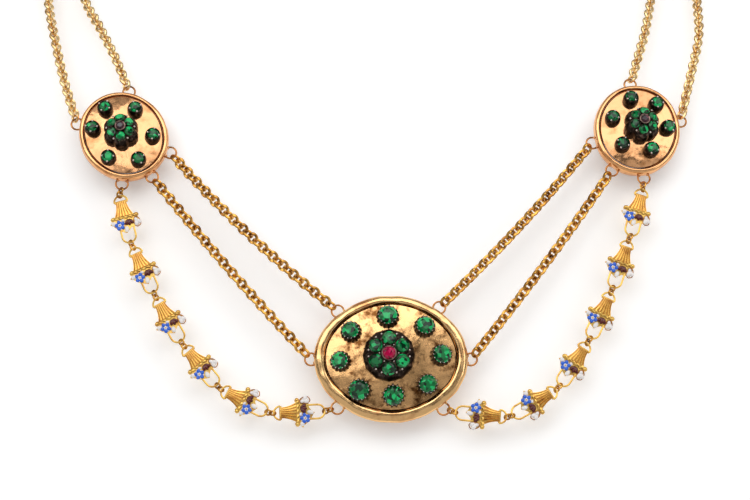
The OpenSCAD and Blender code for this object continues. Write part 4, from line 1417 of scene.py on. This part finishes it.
class NECKLACE_OT_festoons(bpy.types.Operator):
    """Builds the baskets and their rings"""

    bl_idname = "necklace.festoons"
    bl_label = "Festoons"
    bl_options = {"REGISTER", "UNDO"}

    def execute(self, context):
        sizes = prepared(context)
        for index in range(len(FESTOONS)):
            build_festoon_rings(index)
            for k in range(BASKETS):
                build_basket(index, k, sizes)
        return {"FINISHED"}


class NECKLACE_OT_clasp(bpy.types.Operator):
    """Builds the clasp"""

    bl_idname = "necklace.clasp"
    bl_label = "Clasp"
    bl_options = {"REGISTER", "UNDO"}

    def execute(self, context):
        prepared(context)
        build_clasp()
        return {"FINISHED"}


class NECKLACE_OT_stage(bpy.types.Operator):
    """Sets up floor, backdrop, lamps, surroundings, camera and tones"""

    bl_idname = "necklace.stage"
    bl_label = "Stage"
    bl_options = {"REGISTER", "UNDO"}

    def execute(self, context):
        scene = context.scene
        build_backdrop(scene.necklace_colours, scene.necklace_sizes, cad_box[0][2])
        for name, place, size, energy in LAMPS:
            area_light(name, place, size, energy)
        soft_world()
        set_camera()
        set_tones()
        return {"FINISHED"}


class NECKLACE_PT_panel(bpy.types.Panel):
    """Sidebar panel of the necklace"""

    bl_idname = "NECKLACE_PT_panel"
    bl_label = "Festoon necklace"
    bl_space_type = "VIEW_3D"
    bl_region_type = "UI"
    bl_category = "Necklace"

    def draw(self, context):
        layout = self.layout
        for operator in STEPS:
            layout.operator(operator.bl_idname)
        for group in (context.scene.necklace_sizes, context.scene.necklace_colours):
            for field in group.bl_rna.properties:
                if not field.is_readonly and field.identifier != "name":
                    layout.prop(group, field.identifier)


STEPS = (
    NECKLACE_OT_frames,
    NECKLACE_OT_grounds,
    NECKLACE_OT_stones,
    NECKLACE_OT_collets,
    NECKLACE_OT_rosettes,
    NECKLACE_OT_chains,
    NECKLACE_OT_festoons,
    NECKLACE_OT_clasp,
    NECKLACE_OT_stage,
)
CLASSES = (NecklaceColours, NecklaceSizes, *STEPS, NECKLACE_PT_panel)


def register():
    for cls in CLASSES:
        bpy.utils.register_class(cls)
    bpy.types.Scene.necklace_colours = bpy.props.PointerProperty(type=NecklaceColours)
    bpy.types.Scene.necklace_sizes = bpy.props.PointerProperty(type=NecklaceSizes)


def unregister():
    del bpy.types.Scene.necklace_sizes
    del bpy.types.Scene.necklace_colours
    for cls in reversed(CLASSES):
        bpy.utils.unregister_class(cls)


def main():
    """Builds the necklace and its stage."""
    register()
    bpy.ops.necklace.frames()
    bpy.ops.necklace.grounds()
    bpy.ops.necklace.stones()
    bpy.ops.necklace.collets()
    bpy.ops.necklace.rosettes()
    bpy.ops.necklace.chains()
    bpy.ops.necklace.festoons()
    bpy.ops.necklace.clasp()
    bpy.ops.necklace.stage()


if __name__ == "__main__":
    main()
